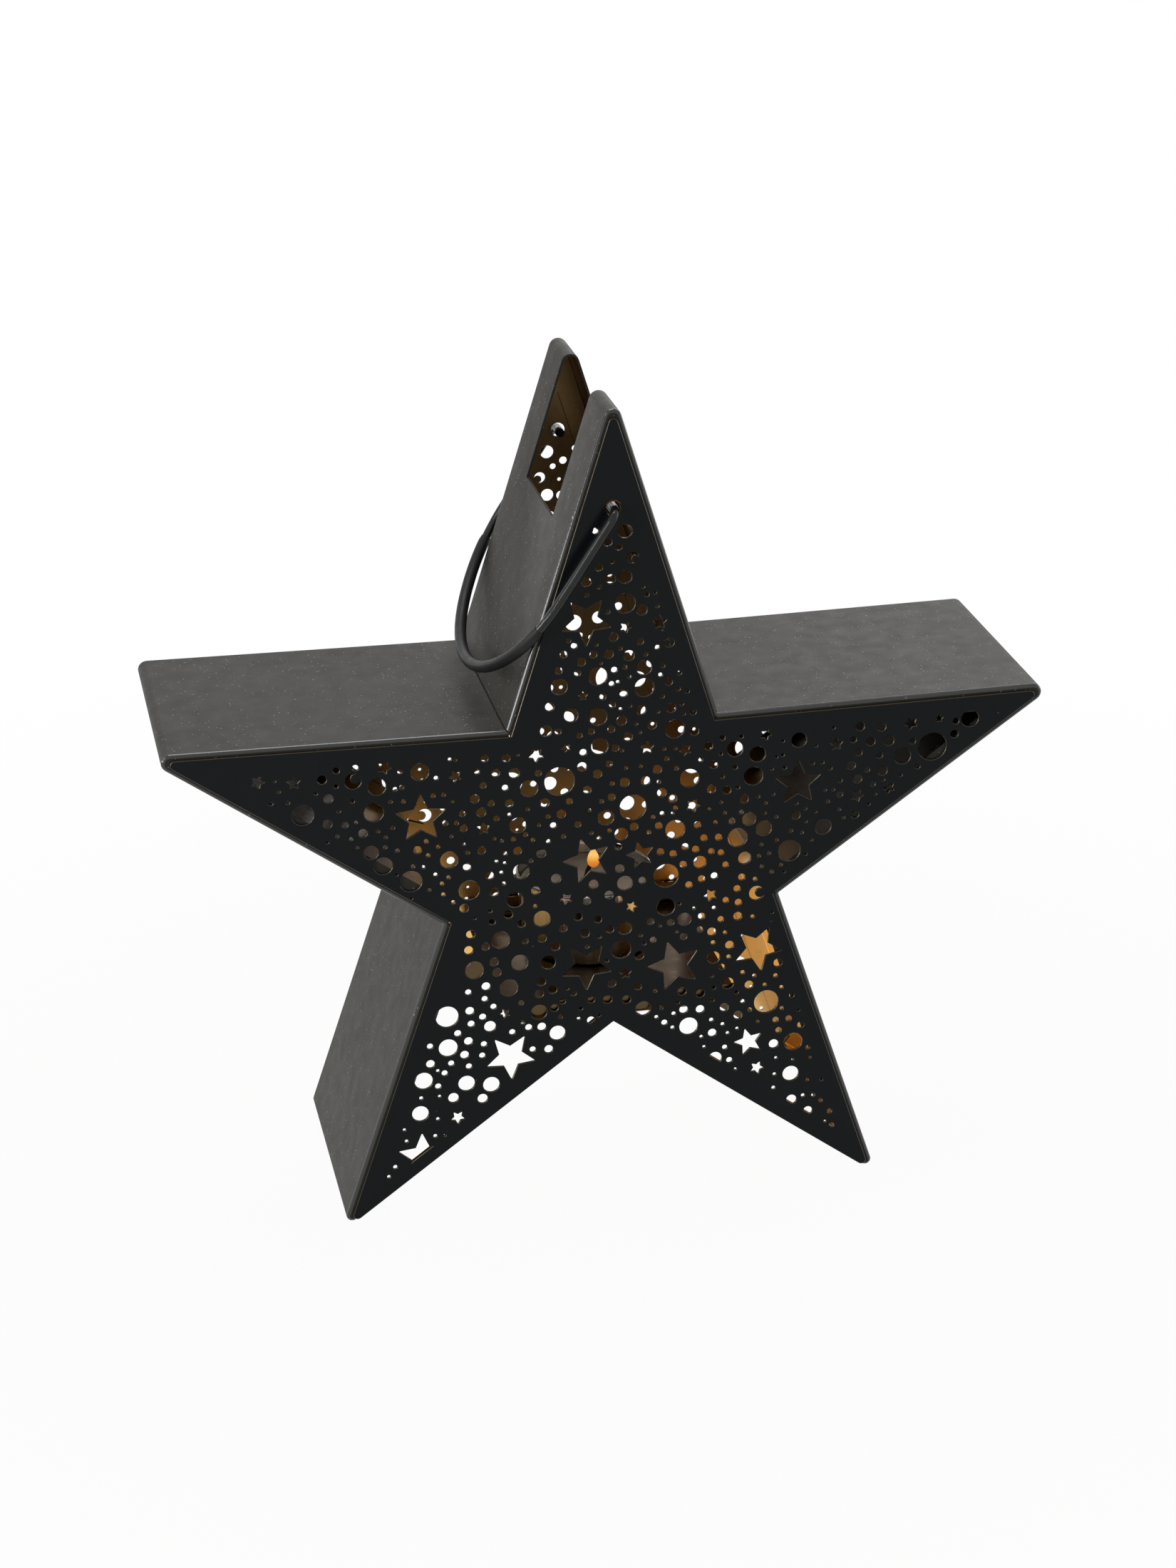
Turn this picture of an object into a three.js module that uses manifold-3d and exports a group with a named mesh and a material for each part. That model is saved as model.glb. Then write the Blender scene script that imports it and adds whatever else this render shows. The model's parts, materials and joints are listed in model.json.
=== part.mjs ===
// A hand lantern of painted sheet metal in the shape of a five-pointed star.
// Two bent side bands carry a pierced front and back panel, and a channel between the panels
// holds a tealight. A wire bail with a sleeve swings in a hole at the top of each panel.
// Millimetres, +Z up. X runs to the right and Y away from the viewer, who faces the front panel.
// The origin lies on the table, midway between the feet.

import * as THREE from "three";
import { mergeVertices } from "three/addons/utils/BufferGeometryUtils.js";
import Module from "manifold-3d";

const wasm = await Module();
wasm.setup();

// Star
const pointReach = 126;       // star centre to the sharp corner of a point
const notchReach = 46.9;      // star centre to an inner corner
const depth = 69.5;           // over the two panels
const sheet = 0.6;            // thickness of every sheet piece
const seatGap = 0.05;         // paint between sheets that lie on each other
const pointRound = 2.4;       // bend of the band round the upper points
const footRound = 1.6;        // bend of the band round the feet
const footFlat = 0.3;         // worn flat under each foot

// Side bands
const flangeWidth = 6.1;      // flange turned in behind a panel, from the band's outer face
const rimBend = 0.9;          // outer radius of the bend between wall and flange
const bendLimit = 0.9;        // share of a foot's bend that the rim's bend may take
const leastBend = 0.1;        // inner radius of the tightest bend
const footReturn = 5;         // band past the bend of a foot, along the open bottom
const seamGap = 0.3;          // open seam at the upper left notch
const chimneyDrop = 38;       // lower edge of the chimney window, below the sharp top corner
const chimneyDepth = 34;      // window size along Y

// Panels
const panelInset = 1.5;       // panel edge inside the band's outer face
const panelRound = 1.2;       // rounded points of a panel
const leftHemWidth = 3.8;     // hems folded back along the open bottom edges
const rightHemWidth = 5.1;
const hemTipGap = 11;         // hem end to the sharp corner of a foot, along the edge
const hemTaper = 8;           // slanted end of the hem
const fieldMargin = 1;        // bare edge round the piercing
const hingeDrop = 31;         // hinge holes below the sharp top corner
const hingeHole = 1.9;        // radius of a hinge hole

// Candle tray
const trayRise = 1;           // underside above the bottom notch
const trayWidth = 63;
const trayShift = 3.8;        // middle of the tray to the right of the star's axis
const trayFlange = 6;         // height of the upturned front and back edges

// Bail and its sleeve
const wireRadius = 1.2;
const legClearance = 3.75;    // middle of a leg in front of the panel
const endBend = 3;            // bend between a leg and the end in its hole
const endLength = 4;          // wire inside the panel
const handleReach = 58.4;     // hinge line to the middle of the crown
const shoulderRadius = 28;
const crownHalfAngle = 48.6;  // degrees of the crown's arc on each side
const gripStartAngle = 20;    // degrees along the shoulder to the end of the sleeve
const gripRadius = 1.55;
const gripFit = 0.12;         // sleeve bore over the wire
const restGap = 0.3;          // folded sleeve to the wall it rests on

// Tealight
const cupRadius = 19;
const cupHeight = 21;
const cupWall = 0.5;
const cupTaper = 0.5;         // base radius less than the rim radius
const rimBead = 0.4;          // rolled rim outside the wall
const cupBevel = 1;           // slanted edge round the base
const candleShift = 2.5;      // tealight to the right of the star's axis
const candleBackGap = 0.5;    // rim to the back edge of the tray
const restLift = 0.2;         // tealight above the tray
const waxDrop = 4;            // wax below the rim
const waxFit = 0.15;
const waxCling = 0.4;         // wax drawn up the cup's wall
const clingWidth = 1.2;
const poolDip = 0.3;          // hollow of the wax round the wick
const poolWidth = 7;          // dip to the cup's wall
const wickCone = 0.5;         // wax drawn up the wick
const coneWidth = 1;
const wickRadius = 0.7;
const wickTaper = 0.14;       // tip radius less than the foot's
const wickStand = 6;          // wick above the wax
const sustainerRadius = 8;
const sustainerNeck = 1.6;
const neckHeight = 3;

// Piercing, drawn on a star with this reach
const layoutReach = 126;
const starWaist = 0.46;       // inner corners of a star hole, as a share of its radius
const moonBite = 0.7;         // radius of the disc left in a moon, as a share of its radius
const moonShift = 0.5;        // that disc off the middle, as a share of the radius
// x, z, radius, turn of the first point in degrees
const starHoles = [
  [-7, 66, 6.7, 180], [-50, 16.2, 6.8, 0], [49, 17, 6.4, 0], [-7, 0.3, 6.5, 15],
  [-7.2, -30, 7, 180], [16.4, -32.2, 7.4, 15], [39, -29.7, 6.7, 45], [-27.7, -54.3, 6.9, 182],
  [-51.7, -81.2, 6.8, 1], [7.1, 0.6, 3.8, 12], [36.9, -57.1, 4.1, 15], [-42.1, -70.8, 2, 180],
  [39.4, -65.2, 2, 48], [-20.1, 30.9, 2.1, 33], [8.8, 30.4, 1.9, 0], [18.8, 28.9, 1.7, 24],
  [21, 13.2, 2, 48], [-34, 12, 1.8, 0], [-12.6, -10, 1.7, 24], [4.8, -14, 1.6, 48],
  [3.2, -33.1, 1.7, 0], [25.9, -12.8, 1.9, 24], [-91, 30, 1.9, 48], [-82, 29, 1.9, 0],
  [-41, 27, 1.7, 24], [-59, 31, 1.9, 48], [59, 27, 1.9, 0], [79, 31, 1.9, 24],
  [65, 12, 1.9, 48], [3.1, 63.6, 1.6, 48], [11.9, 64.3, 2, 0], [40.1, 31.3, 1.6, 48],
  [73.6, 13.4, 1.7, 24],
];
// x, z, radius, turn of the open side in degrees
const moonHoles = [[-67, 28, 2.1, 45], [38.4, -13.4, 2, 0], [5, 82, 1.5, -40], [14.4, 58.7, 1.3, 180]];
// x, z, radius
const roundHoles = [
  [-14.1, 23.2, 3.9], [5.1, 14.2, 3.5], [16.3, 6.9, 2.6], [20, 21, 2.5], [8, 47, 2.5],
  [16, 35, 2.5], [-3.6, 31.9, 2.2], [-22, 22, 2.3], [-2, 12, 2.1], [2, 7, 1.7],
  [-25, 12, 2.1], [14, -6, 3.3], [14, -15, 2.4], [33, 3, 2.6], [47, -2, 3],
  [37, 20, 2.5], [38, 26, 2.1], [32, 28, 2.1], [49, 29, 2], [40, 5, 2.1],
  [36, 8, 1.8], [-38, -5, 2.7], [-26, -9, 2.1], [-19, -15, 2.2], [-30, -20, 2.4],
  [-25, -27, 2.2], [-17.4, -27.8, 1.9], [-37, -28, 2.4], [-28, -34, 2.4], [2, -26, 2.6],
  [3, -20, 1.8], [3, -7, 2], [19, -19, 1.8], [-24.3, -1, 2.1], [41.6, -45.6, 3.3],
  [20.4, -50.6, 2.5], [-15.1, -48.7, 2.1], [49.3, -58.4, 2.5], [-33.1, -44.8, 1.55], [-20, -42, 2.1],
  [8, -44, 2], [23, -3, 1.7], [35, -3, 1.7], [27, -31, 1.7], [31, -39, 1.6],
  [-44.4, -40.8, 3], [-44.3, -49.9, 2.5], [-51, -58.9, 2.4], [-39.6, -60.9, 2.2], [-33, -62, 2.2],
  [-52.1, -68.5, 2.2], [-43.2, -64.8, 1.4], [48.8, -68, 2.2], [-50, 29, 2.3], [-61, 26, 2.3],
  [-62, 19, 2.5], [-80, 20, 2.8], [-60, 4, 2.4], [-63, 8, 1.9], [-53, -1, 2.9],
  [-43, 4, 2.3], [85, 24, 3.8], [77, 22, 2.2], [56, 4, 2.2], [95, 31, 2.3],
  [3, 70, 2.6], [-4, 51, 2.4], [7.9, 52.4, 2], [-14, 49, 2.1], [-4, 40, 2.3],
  [-11, 41, 1.8], [3, 77, 1.7], [3, 89, 1.8], [4, 56, 1.4], [-17.5, 37.3, 1.5],
  [27.8, -61, 1.8], [7.2, 40.9, 1.2], [15, 40.8, 1.2], [-8.2, 26.7, 1.2], [2.9, 21.4, 1.2],
  [8.4, 21.3, 1.2], [-34.5, 16.5, 1.2], [-18, 17.6, 1.2], [12.7, 17.6, 1.2], [-19, 3.6, 1.2],
  [-5.3, -6.5, 1.2], [6.9, -28.3, 1.2], [-1.6, -40.2, 1.2], [-6.9, 76.4, 1.2], [-73.4, 23.9, 1.2],
];

// Fineness of the facets
const bendSteps = 3;
const rimSteps = 2;
const wireSides = 8;
const cupSides = 36;
const wickSides = 8;
const neckSides = 16;
const hingeSides = 12;
const dotSides = 6;
const roundSides = 8;
const wideSides = 10;
const dotRadius = 1.75;       // round holes up to this radius have the fewest sides
const roundRadius = 2.65;     // and those above this one the most
const endSteps = 4;           // stations along each bend of the wire
const shoulderSteps = 2;
const crownSteps = 5;

const degree = Math.PI / 180;

// Star corners go round from the top point: even ones are points, odd ones are notches
function starCorners(tip, waist, turn) {
  return Array.from({ length: 10 }, (_, k) => {
    const reach = k % 2 === 0 ? tip : waist;
    const angle = (90 + turn + 36 * k) * degree;
    return new THREE.Vector2(reach * Math.cos(angle), reach * Math.sin(angle));
  });
}

const corners = starCorners(pointReach, notchReach, 0);
const seamNotchIndex = 1;
const closedNotches = [1, 3, 7, 9];
const leftFootIndex = 4;
const bottomNotchIndex = 5;
const rightFootIndex = 6;
const leftOpenEdge = leftFootIndex;
const rightOpenEdge = bottomNotchIndex;

// Derived levels
const panelInner = depth / 2 - sheet;
const bandHalf = panelInner - seatGap;
const trayHalf = bandHalf - sheet - seatGap;
const footAxis = corners[leftFootIndex].clone().normalize();
const footEdge = corners[leftFootIndex].clone().sub(corners[bottomNotchIndex]);
const footHalfAngle = Math.acos(footEdge.dot(footAxis) / footEdge.length());
const footCentreReach = pointReach - footRound / Math.sin(footHalfAngle);
const groundLevel = footCentreReach * footAxis.y - footRound + footFlat;
const hingeLevel = pointReach - hingeDrop;
const trayLevel = trayRise - notchReach;
const far = 4 * pointReach;
const pastFlange = 3 * flangeWidth;

// Plain geometry to a solid and back
function toSolid(geometry) {
  const bare = geometry.clone();
  bare.deleteAttribute("normal");
  bare.deleteAttribute("uv");
  const merged = mergeVertices(bare, 1e-4);
  const index = merged.index.array;
  const triangles = [];
  for (let i = 0; i < index.length; i += 3) {
    const [a, b, c] = [index[i], index[i + 1], index[i + 2]];
    if (a !== b && b !== c && c !== a) triangles.push(a, b, c);
  }
  const vertProperties = new Float32Array(merged.attributes.position.array);
  const triVerts = new Uint32Array(triangles);
  return new wasm.Manifold(new wasm.Mesh({ numProp: 3, vertProperties, triVerts }));
}

function toGeometry(solid) {
  const mesh = solid.getMesh();
  const geometry = new THREE.BufferGeometry();
  geometry.setAttribute("position", new THREE.Float32BufferAttribute(mesh.vertProperties, 3));
  geometry.setIndex(Array.from(mesh.triVerts));
  geometry.computeVertexNormals();
  return geometry;
}

function edgeDirection(k) {
  return corners[(k + 1) % corners.length].clone().sub(corners[k]).normalize();
}

function inwardNormal(k) {
  const along = edgeDirection(k);
  return new THREE.Vector2(-along.y, along.x);
}

// The star's corners with each edge moved inward by its own distance
function insetCorners(insetOf) {
  return corners.map((corner, k) => {
    const before = (k + corners.length - 1) % corners.length;
    const [n1, n2] = [inwardNormal(before), inwardNormal(k)];
    const [c1, c2] = [insetOf(before), insetOf(k)];
    const det = n1.x * n2.y - n1.y * n2.x;
    const shift = new THREE.Vector2((c1 * n2.y - c2 * n1.y) / det, (n1.x * c2 - n2.x * c1) / det);
    return corner.clone().add(shift);
  });
}

// Closed outline with an arc at each corner that has a radius
function roundedShape(points, radiusOf) {
  const shape = new THREE.Shape();
  points.forEach((corner, k) => {
    const radius = radiusOf(k);
    const toBefore = points.at(k - 1).clone().sub(corner).normalize();
    const toAfter = points[(k + 1) % points.length].clone().sub(corner).normalize();
    if (radius <= 0) {
      if (k === 0) shape.moveTo(corner.x, corner.y);
      else shape.lineTo(corner.x, corner.y);
      return;
    }
    const half = Math.acos(toBefore.dot(toAfter)) / 2;
    const centre = toBefore.clone().add(toAfter).normalize().multiplyScalar(radius / Math.sin(half));
    centre.add(corner);
    const start = Math.atan2(-toBefore.x, toBefore.y);
    const first = start + Math.PI;
    const last = first + Math.PI - 2 * half;
    shape.absarc(centre.x, centre.y, radius, first, last, false);
  });
  shape.closePath();
  return shape;
}

function polygon(points) {
  return new THREE.Shape(points.map((p) => new THREE.Vector2(p.x, p.y)));
}

// Outline in X and Z, given its thickness between two places on Y
function slab(shapes, yLow, yHigh) {
  const geometry = new THREE.ExtrudeGeometry(shapes, {
    depth: yHigh - yLow, bevelEnabled: false, curveSegments: bendSteps });
  geometry.rotateX(Math.PI / 2);
  geometry.translate(0, yHigh, 0);
  return geometry;
}

// The same with its front and back edges rounded over
function softSlab(shape, half, bend) {
  const geometry = new THREE.ExtrudeGeometry(shape, {
    depth: 2 * (half - bend), curveSegments: bendSteps, bevelSegments: rimSteps,
    bevelSize: bend, bevelThickness: bend, bevelOffset: -bend });
  geometry.rotateX(Math.PI / 2);
  geometry.translate(0, half - bend, 0);
  return geometry;
}

function blockBelow(level) {
  const block = new THREE.BoxGeometry(far, far, far);
  block.translate(0, 0, level - far / 2);
  return block;
}

// Side bands
const isPoint = (k) => k % 2 === 0;
const isFoot = (k) => k === leftFootIndex || k === rightFootIndex;

function bandOutline(inset) {
  const radiusOf = (k) => (isPoint(k) ? (isFoot(k) ? footRound : pointRound) - inset : 0);
  return roundedShape(insetCorners(() => inset), radiusOf);
}

function openBottom() {
  const start = footCentreReach * Math.cos(footHalfAngle) - footReturn;
  const onAxis = footAxis.clone().multiplyScalar(start / Math.cos(footHalfAngle));
  const past = inwardNormal(leftFootIndex).multiplyScalar(-pastFlange);
  const beyond = onAxis.clone().add(past);
  const mirrored = (p) => new THREE.Vector2(-p.x, p.y);
  const below = new THREE.Vector2(0, -far);
  const centre = new THREE.Vector2(0, 0);
  return polygon([centre, onAxis, beyond, below, mirrored(beyond), mirrored(onAxis)]);
}

function notchRelief(k) {
  const apex = insetCorners(() => rimBend)[k];
  const sideA = apex.clone().add(inwardNormal(k - 1).multiplyScalar(pastFlange));
  const sideB = apex.clone().add(inwardNormal(k).multiplyScalar(pastFlange));
  return polygon([apex, sideA, sideB]);
}

function wholeBand() {
  const bend = Math.min(rimBend, bendLimit * footRound);
  const outer = toSolid(softSlab(bandOutline(0), bandHalf, bend));
  const innerBend = Math.max(bend - sheet, leastBend);
  const inner = toSolid(softSlab(bandOutline(sheet), bandHalf - sheet, innerBend));
  const window = toSolid(slab(polygon(insetCorners(() => flangeWidth)), -depth, depth));
  const bottom = toSolid(slab(openBottom(), -depth, depth));
  const chimney = new THREE.BoxGeometry(pointReach, chimneyDepth, 2 * chimneyDrop);
  chimney.translate(0, 0, pointReach);
  const reliefs = toSolid(slab(closedNotches.map(notchRelief), -depth, depth));
  return outer.subtract(inner).subtract(window).subtract(bottom).subtract(toSolid(chimney))
    .subtract(reliefs).subtract(toSolid(blockBelow(groundLevel)));
}

// Everything on one side of the seam, which runs through the upper left notch
function seamSide(side) {
  const seam = corners[seamNotchIndex].clone().setLength(far);
  const across = new THREE.Vector2(-seam.y, seam.x).setLength(seamGap / 2 * side);
  const middle = across.clone();
  const outward = seam.clone().add(across);
  const down = new THREE.Vector2(middle.x, -far);
  const aside = new THREE.Vector2(-side * far, -far);
  const above = new THREE.Vector2(-side * far, far);
  return polygon([middle, outward, above, aside, down]);
}

function sideBand(side) {
  return toGeometry(wholeBand().intersect(toSolid(slab(seamSide(side), -depth, depth))));
}

// Panels
const isOpen = (k) => k === leftOpenEdge || k === rightOpenEdge;
const hemOf = (k) => (k === leftOpenEdge ? leftHemWidth : rightHemWidth);
const panelEdge = (k) => (isOpen(k) ? 0 : panelInset);
const fieldEdge = (k) => (isOpen(k) ? hemOf(k) + seatGap : panelInset + fieldMargin);

function starHole(x, z, radius, turn) {
  const place = new THREE.Vector2(x, z);
  return polygon(starCorners(radius, starWaist * radius, turn).map((corner) => corner.add(place)));
}

function roundHole(x, z, radius, sides) {
  const points = Array.from({ length: sides }, (_, k) => {
    const angle = (k + 0.5) / sides * 2 * Math.PI;
    return new THREE.Vector2(x + radius * Math.cos(angle), z + radius * Math.sin(angle));
  });
  return polygon(points);
}

function sidesOf(radius) {
  if (radius > roundRadius) return wideSides;
  return radius > dotRadius ? roundSides : dotSides;
}

const throughFront = (shape) => toSolid(slab(shape, -depth, 0));

// A round hole with a smaller disc left standing at its open side
function moonHole(x, z, radius, turn) {
  const shift = moonShift * radius;
  const [biteX, biteZ] = [x + shift * Math.cos(turn * degree), z + shift * Math.sin(turn * degree)];
  const bite = throughFront(roundHole(biteX, biteZ, moonBite * radius, roundSides));
  return throughFront(roundHole(x, z, radius, roundSides)).subtract(bite);
}

function piercing() {
  const scale = pointReach / layoutReach;
  const placed = ([x, z, ...rest]) => [scale * x, scale * z, ...rest];
  const stars = starHoles.map(placed).map((star) => throughFront(starHole(...star)));
  const moons = moonHoles.map(placed).map((moon) => moonHole(...moon));
  const rounds = roundHoles.map(placed).map(([x, z, radius]) =>
    throughFront(roundHole(x, z, radius, sidesOf(radius))));
  return wasm.Manifold.union([...stars, ...moons, ...rounds]);
}

// Hem along one open edge, a strip that ends on a slant towards the foot. It is drawn at the
// left and mirrored for the right.
function hemShape(side, width) {
  const notch = corners[bottomNotchIndex];
  const along = corners[leftFootIndex].clone().sub(notch);
  const end = along.length() - hemTipGap;
  along.normalize();
  const inward = inwardNormal(leftFootIndex);
  const at = (s, w) => {
    const p = notch.clone().addScaledVector(along, s).addScaledVector(inward, w);
    return new THREE.Vector2(side * p.x, p.y);
  };
  const low = seatGap;
  return polygon([at(low, low), at(end, low), at(end - hemTaper, width), at(low, width)]);
}

function pierced() {
  const outline = roundedShape(insetCorners(panelEdge), (k) => (isPoint(k) ? panelRound : 0));
  const plate = toSolid(slab(outline, -depth / 2, -panelInner));
  const pattern = piercing().intersect(throughFront(polygon(insetCorners(fieldEdge))));
  const hinge = throughFront(roundHole(0, hingeLevel, hingeHole, hingeSides));
  const hems = [hemShape(1, leftHemWidth), hemShape(-1, rightHemWidth)];
  const hem = toSolid(slab(hems, -panelInner - sheet / 2, sheet - bandHalf));
  return toGeometry(plate.subtract(pattern).subtract(hinge).add(hem));
}

// Candle tray: a channel bent up at the front and back
function trayGeometry() {
  const top = trayLevel + sheet;
  const rise = trayLevel + trayFlange;
  const profile = polygon([
    { x: -trayHalf, y: trayLevel }, { x: trayHalf, y: trayLevel }, { x: trayHalf, y: rise },
    { x: trayHalf - sheet, y: rise }, { x: trayHalf - sheet, y: top },
    { x: sheet - trayHalf, y: top }, { x: sheet - trayHalf, y: rise }, { x: -trayHalf, y: rise },
  ]);
  const geometry = new THREE.ExtrudeGeometry(profile, { depth: trayWidth, bevelEnabled: false });
  const axes = [new THREE.Vector3(0, 1, 0), new THREE.Vector3(0, 0, 1), new THREE.Vector3(1, 0, 0)];
  geometry.applyMatrix4(new THREE.Matrix4().makeBasis(...axes));
  geometry.translate(trayShift - trayWidth / 2, 0, 0);
  return toGeometry(toSolid(geometry));
}

// Bail: stations along the wire in its own plane, close together only where it bends.
// Y runs across the lantern and the reach runs down from the hinge line.
const legPlace = depth / 2 + legClearance;
const crownSine = Math.sin(crownHalfAngle * degree);
const crownCosine = Math.cos(crownHalfAngle * degree);
const crownRadius = (legPlace - shoulderRadius * (1 - crownSine)) / crownSine;
const legEnd = handleReach - crownRadius * (1 - crownCosine) - shoulderRadius * crownCosine;

function arcStations(y, reach, radius, from, to, steps) {
  return Array.from({ length: steps + 1 }, (_, k) => {
    const angle = (from + (to - from) * k / steps) * degree;
    const place = [y - radius * Math.cos(angle), reach + radius * Math.sin(angle)];
    return { place, heading: [Math.sin(angle), Math.cos(angle)] };
  });
}

const endStations = [
  { place: [-panelInner + endLength, 0], heading: [-1, 0] },
  ...arcStations(-legPlace + endBend, endBend, endBend, -90, 0, endSteps),
];
const shoulderY = shoulderRadius - legPlace;
const shoulderEnd = 90 - crownHalfAngle;
const shoulderArc = (from, to) =>
  arcStations(shoulderY, legEnd, shoulderRadius, from, to, shoulderSteps);
const shoulderStart = shoulderArc(0, gripStartAngle);
const shoulderFinish = shoulderArc(gripStartAngle, shoulderEnd);
const crownLevel = handleReach - crownRadius;
const crownStations = arcStations(0, crownLevel, crownRadius, shoulderEnd, 90, crownSteps);

function mirroredStations(stations) {
  return stations.slice(0, -1).reverse().map(({ place, heading }) => (
    { place: [-place[0], place[1]], heading: [heading[0], -heading[1]] }));
}

function wholeArch(stations) {
  return stations.concat(mirroredStations(stations));
}

// A path through the stations, one step from each to the next
class WirePath extends THREE.Curve {
  constructor(stations) {
    super();
    this.stations = stations;
  }

  station(t) {
    return this.stations[Math.round(t * (this.stations.length - 1))];
  }

  getPoint(t) {
    const [y, reach] = this.station(t).place;
    return new THREE.Vector3(0, y, -reach);
  }

  getTangent(t) {
    const [y, reach] = this.station(t).heading;
    return new THREE.Vector3(0, y, -reach).normalize();
  }

  getUtoTmapping(u) {
    return u;
  }
}

function along(stations, section) {
  const extrudePath = new WirePath(stations);
  const geometry = new THREE.ExtrudeGeometry(section, { steps: stations.length - 1, extrudePath });
  return toGeometry(toSolid(geometry));
}

function wireGeometry() {
  const half = [...endStations, ...shoulderStart, ...shoulderFinish.slice(1), ...crownStations.slice(1)];
  return along(wholeArch(half), roundHole(0, 0, wireRadius, wireSides));
}

function gripGeometry() {
  const half = [...shoulderFinish, ...crownStations.slice(1)];
  const section = roundHole(0, 0, gripRadius, wireSides);
  section.holes.push(roundHole(0, 0, wireRadius + gripFit, wireSides));
  return along(wholeArch(half), section);
}

// The folded bail rests with its sleeve on what it meets first: the left wall of the top point,
// where the arch crosses the band's edge, or the top of the left arm
const seamNotch = corners[seamNotchIndex];
const armPoint = corners[seamNotchIndex + 1];
const wallSlope = Math.atan2(-seamNotch.x, pointReach - seamNotch.y);
const hingeInset = hingeDrop * Math.sin(wallSlope);
const edgeShare = (bandHalf + shoulderY) / shoulderRadius;
const edgeReach = legEnd + shoulderRadius * Math.sqrt(1 - edgeShare * edgeShare);
const sleeveRoom = gripRadius + restGap;
const wallAngle = wallSlope + Math.asin((hingeInset + sleeveRoom) / edgeReach);
const armTop = Math.max(seamNotch.y, armPoint.y);
const armAngle = Math.acos(Math.min(1, (hingeLevel - armTop - sleeveRoom) / handleReach));
const restAngle = Math.max(wallAngle, armAngle);

// Tealight, turned about its own axis from its underside
function turned(profile, sides) {
  const points = profile.map(([r, z]) => new THREE.Vector2(r, z));
  const geometry = new THREE.LatheGeometry(points, sides);
  geometry.rotateX(Math.PI / 2);
  return toGeometry(toSolid(geometry));
}

const cupBase = cupRadius - rimBead - cupTaper;
const cupTop = cupRadius - rimBead;
const waxLevel = cupHeight - waxDrop;
const sustainerTop = cupWall + waxFit + sheet;

function cupGeometry() {
  return turned([
    [0, 0], [cupBase - cupBevel, 0], [cupBase, cupBevel], [cupTop, cupHeight - 2 * rimBead],
    [cupRadius, cupHeight - 2 * rimBead], [cupRadius, cupHeight], [cupTop - cupWall, cupHeight],
    [cupBase - cupWall, cupBevel + cupWall], [cupBase - cupBevel - cupWall, cupWall], [0, cupWall],
  ], cupSides);
}

function waxGeometry() {
  const floor = cupWall + waxFit;
  const low = cupBase - cupWall - waxFit;
  const wide = low + cupTaper * (waxLevel - cupBevel) / (cupHeight - cupBevel);
  const bore = wickRadius + waxFit;
  const neckTop = sustainerTop + neckHeight + waxFit;
  const discTop = sustainerTop + waxFit;
  const neckSide = sustainerNeck + waxFit;
  const discSide = sustainerRadius + waxFit;
  return turned([
    [bore, neckTop], [neckSide, neckTop], [neckSide, discTop], [discSide, discTop], [discSide, floor],
    [low - cupBevel, floor], [low, cupBevel + floor], [wide, waxLevel + waxCling],
    [wide - clingWidth, waxLevel], [wide - poolWidth, waxLevel - poolDip],
    [bore + coneWidth, waxLevel], [bore, waxLevel + wickCone], [bore, neckTop],
  ], cupSides);
}

function sustainerGeometry() {
  const floor = cupWall + waxFit;
  const bore = wickRadius + waxFit;
  return turned([
    [bore, floor], [sustainerRadius, floor], [sustainerRadius, sustainerTop],
    [sustainerNeck, sustainerTop], [sustainerNeck, sustainerTop + neckHeight],
    [bore, sustainerTop + neckHeight], [bore, floor],
  ], neckSides);
}

function wickGeometry() {
  const foot = cupWall + waxFit;
  const height = waxLevel + wickStand - foot;
  const geometry = new THREE.CylinderGeometry(wickRadius - wickTaper, wickRadius, height, wickSides);
  geometry.rotateX(Math.PI / 2);
  geometry.translate(0, 0, foot + height / 2);
  return toGeometry(toSolid(geometry));
}

// Materials
function finish(color, roughness, metalness) {
  return new THREE.MeshStandardMaterial({ color, roughness, metalness });
}

const blackPaint = () => finish(0x25282a, 0.4, 0.2);
const bronzePaint = () => finish(0xb8823f, 0.3, 0.9);

function piece(name, geometry, material) {
  const mesh = new THREE.Mesh(geometry, material);
  mesh.name = name;
  return mesh;
}

// Assembly
const star = new THREE.Group();
star.position.z = -groundLevel;
const frontPanel = pierced();
const backPanel = piece("back_panel", frontPanel, blackPaint());
backPanel.rotation.z = Math.PI;
star.add(piece("front_panel", frontPanel, blackPaint()), backPanel);
star.add(piece("left_side_band", sideBand(1), blackPaint()));
star.add(piece("right_side_band", sideBand(-1), blackPaint()));
star.add(piece("candle_tray", trayGeometry(), bronzePaint()));

const bail = new THREE.Group();
bail.position.z = hingeLevel;
bail.rotation.y = restAngle;
bail.add(piece("handle_wire", wireGeometry(), finish(0x1d1f20, 0.35, 0.6)));
bail.add(piece("handle_grip", gripGeometry(), finish(0x1a1b1c, 0.6, 0)));
star.add(bail);

const tealight = new THREE.Group();
const candlePlace = trayHalf - sheet - cupRadius - candleBackGap;
tealight.position.set(candleShift, candlePlace, trayLevel + sheet + restLift);
tealight.add(piece("tealight_cup", cupGeometry(), finish(0xc9cbcc, 0.35, 0.9)));
tealight.add(piece("tealight_wax", waxGeometry(), finish(0xf4efe2, 0.5, 0)));
tealight.add(piece("wick", wickGeometry(), finish(0x2b2723, 0.9, 0)));
tealight.add(piece("wick_sustainer", sustainerGeometry(), finish(0xb9bcbe, 0.4, 0.9)));
star.add(tealight);

const lantern = new THREE.Group();
lantern.add(star);

export default lantern;
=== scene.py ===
import json
import math

import bmesh
import bpy
from mathutils import Matrix, Quaternion, Vector, noise
from mathutils.geometry import delaunay_2d_cdt


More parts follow.
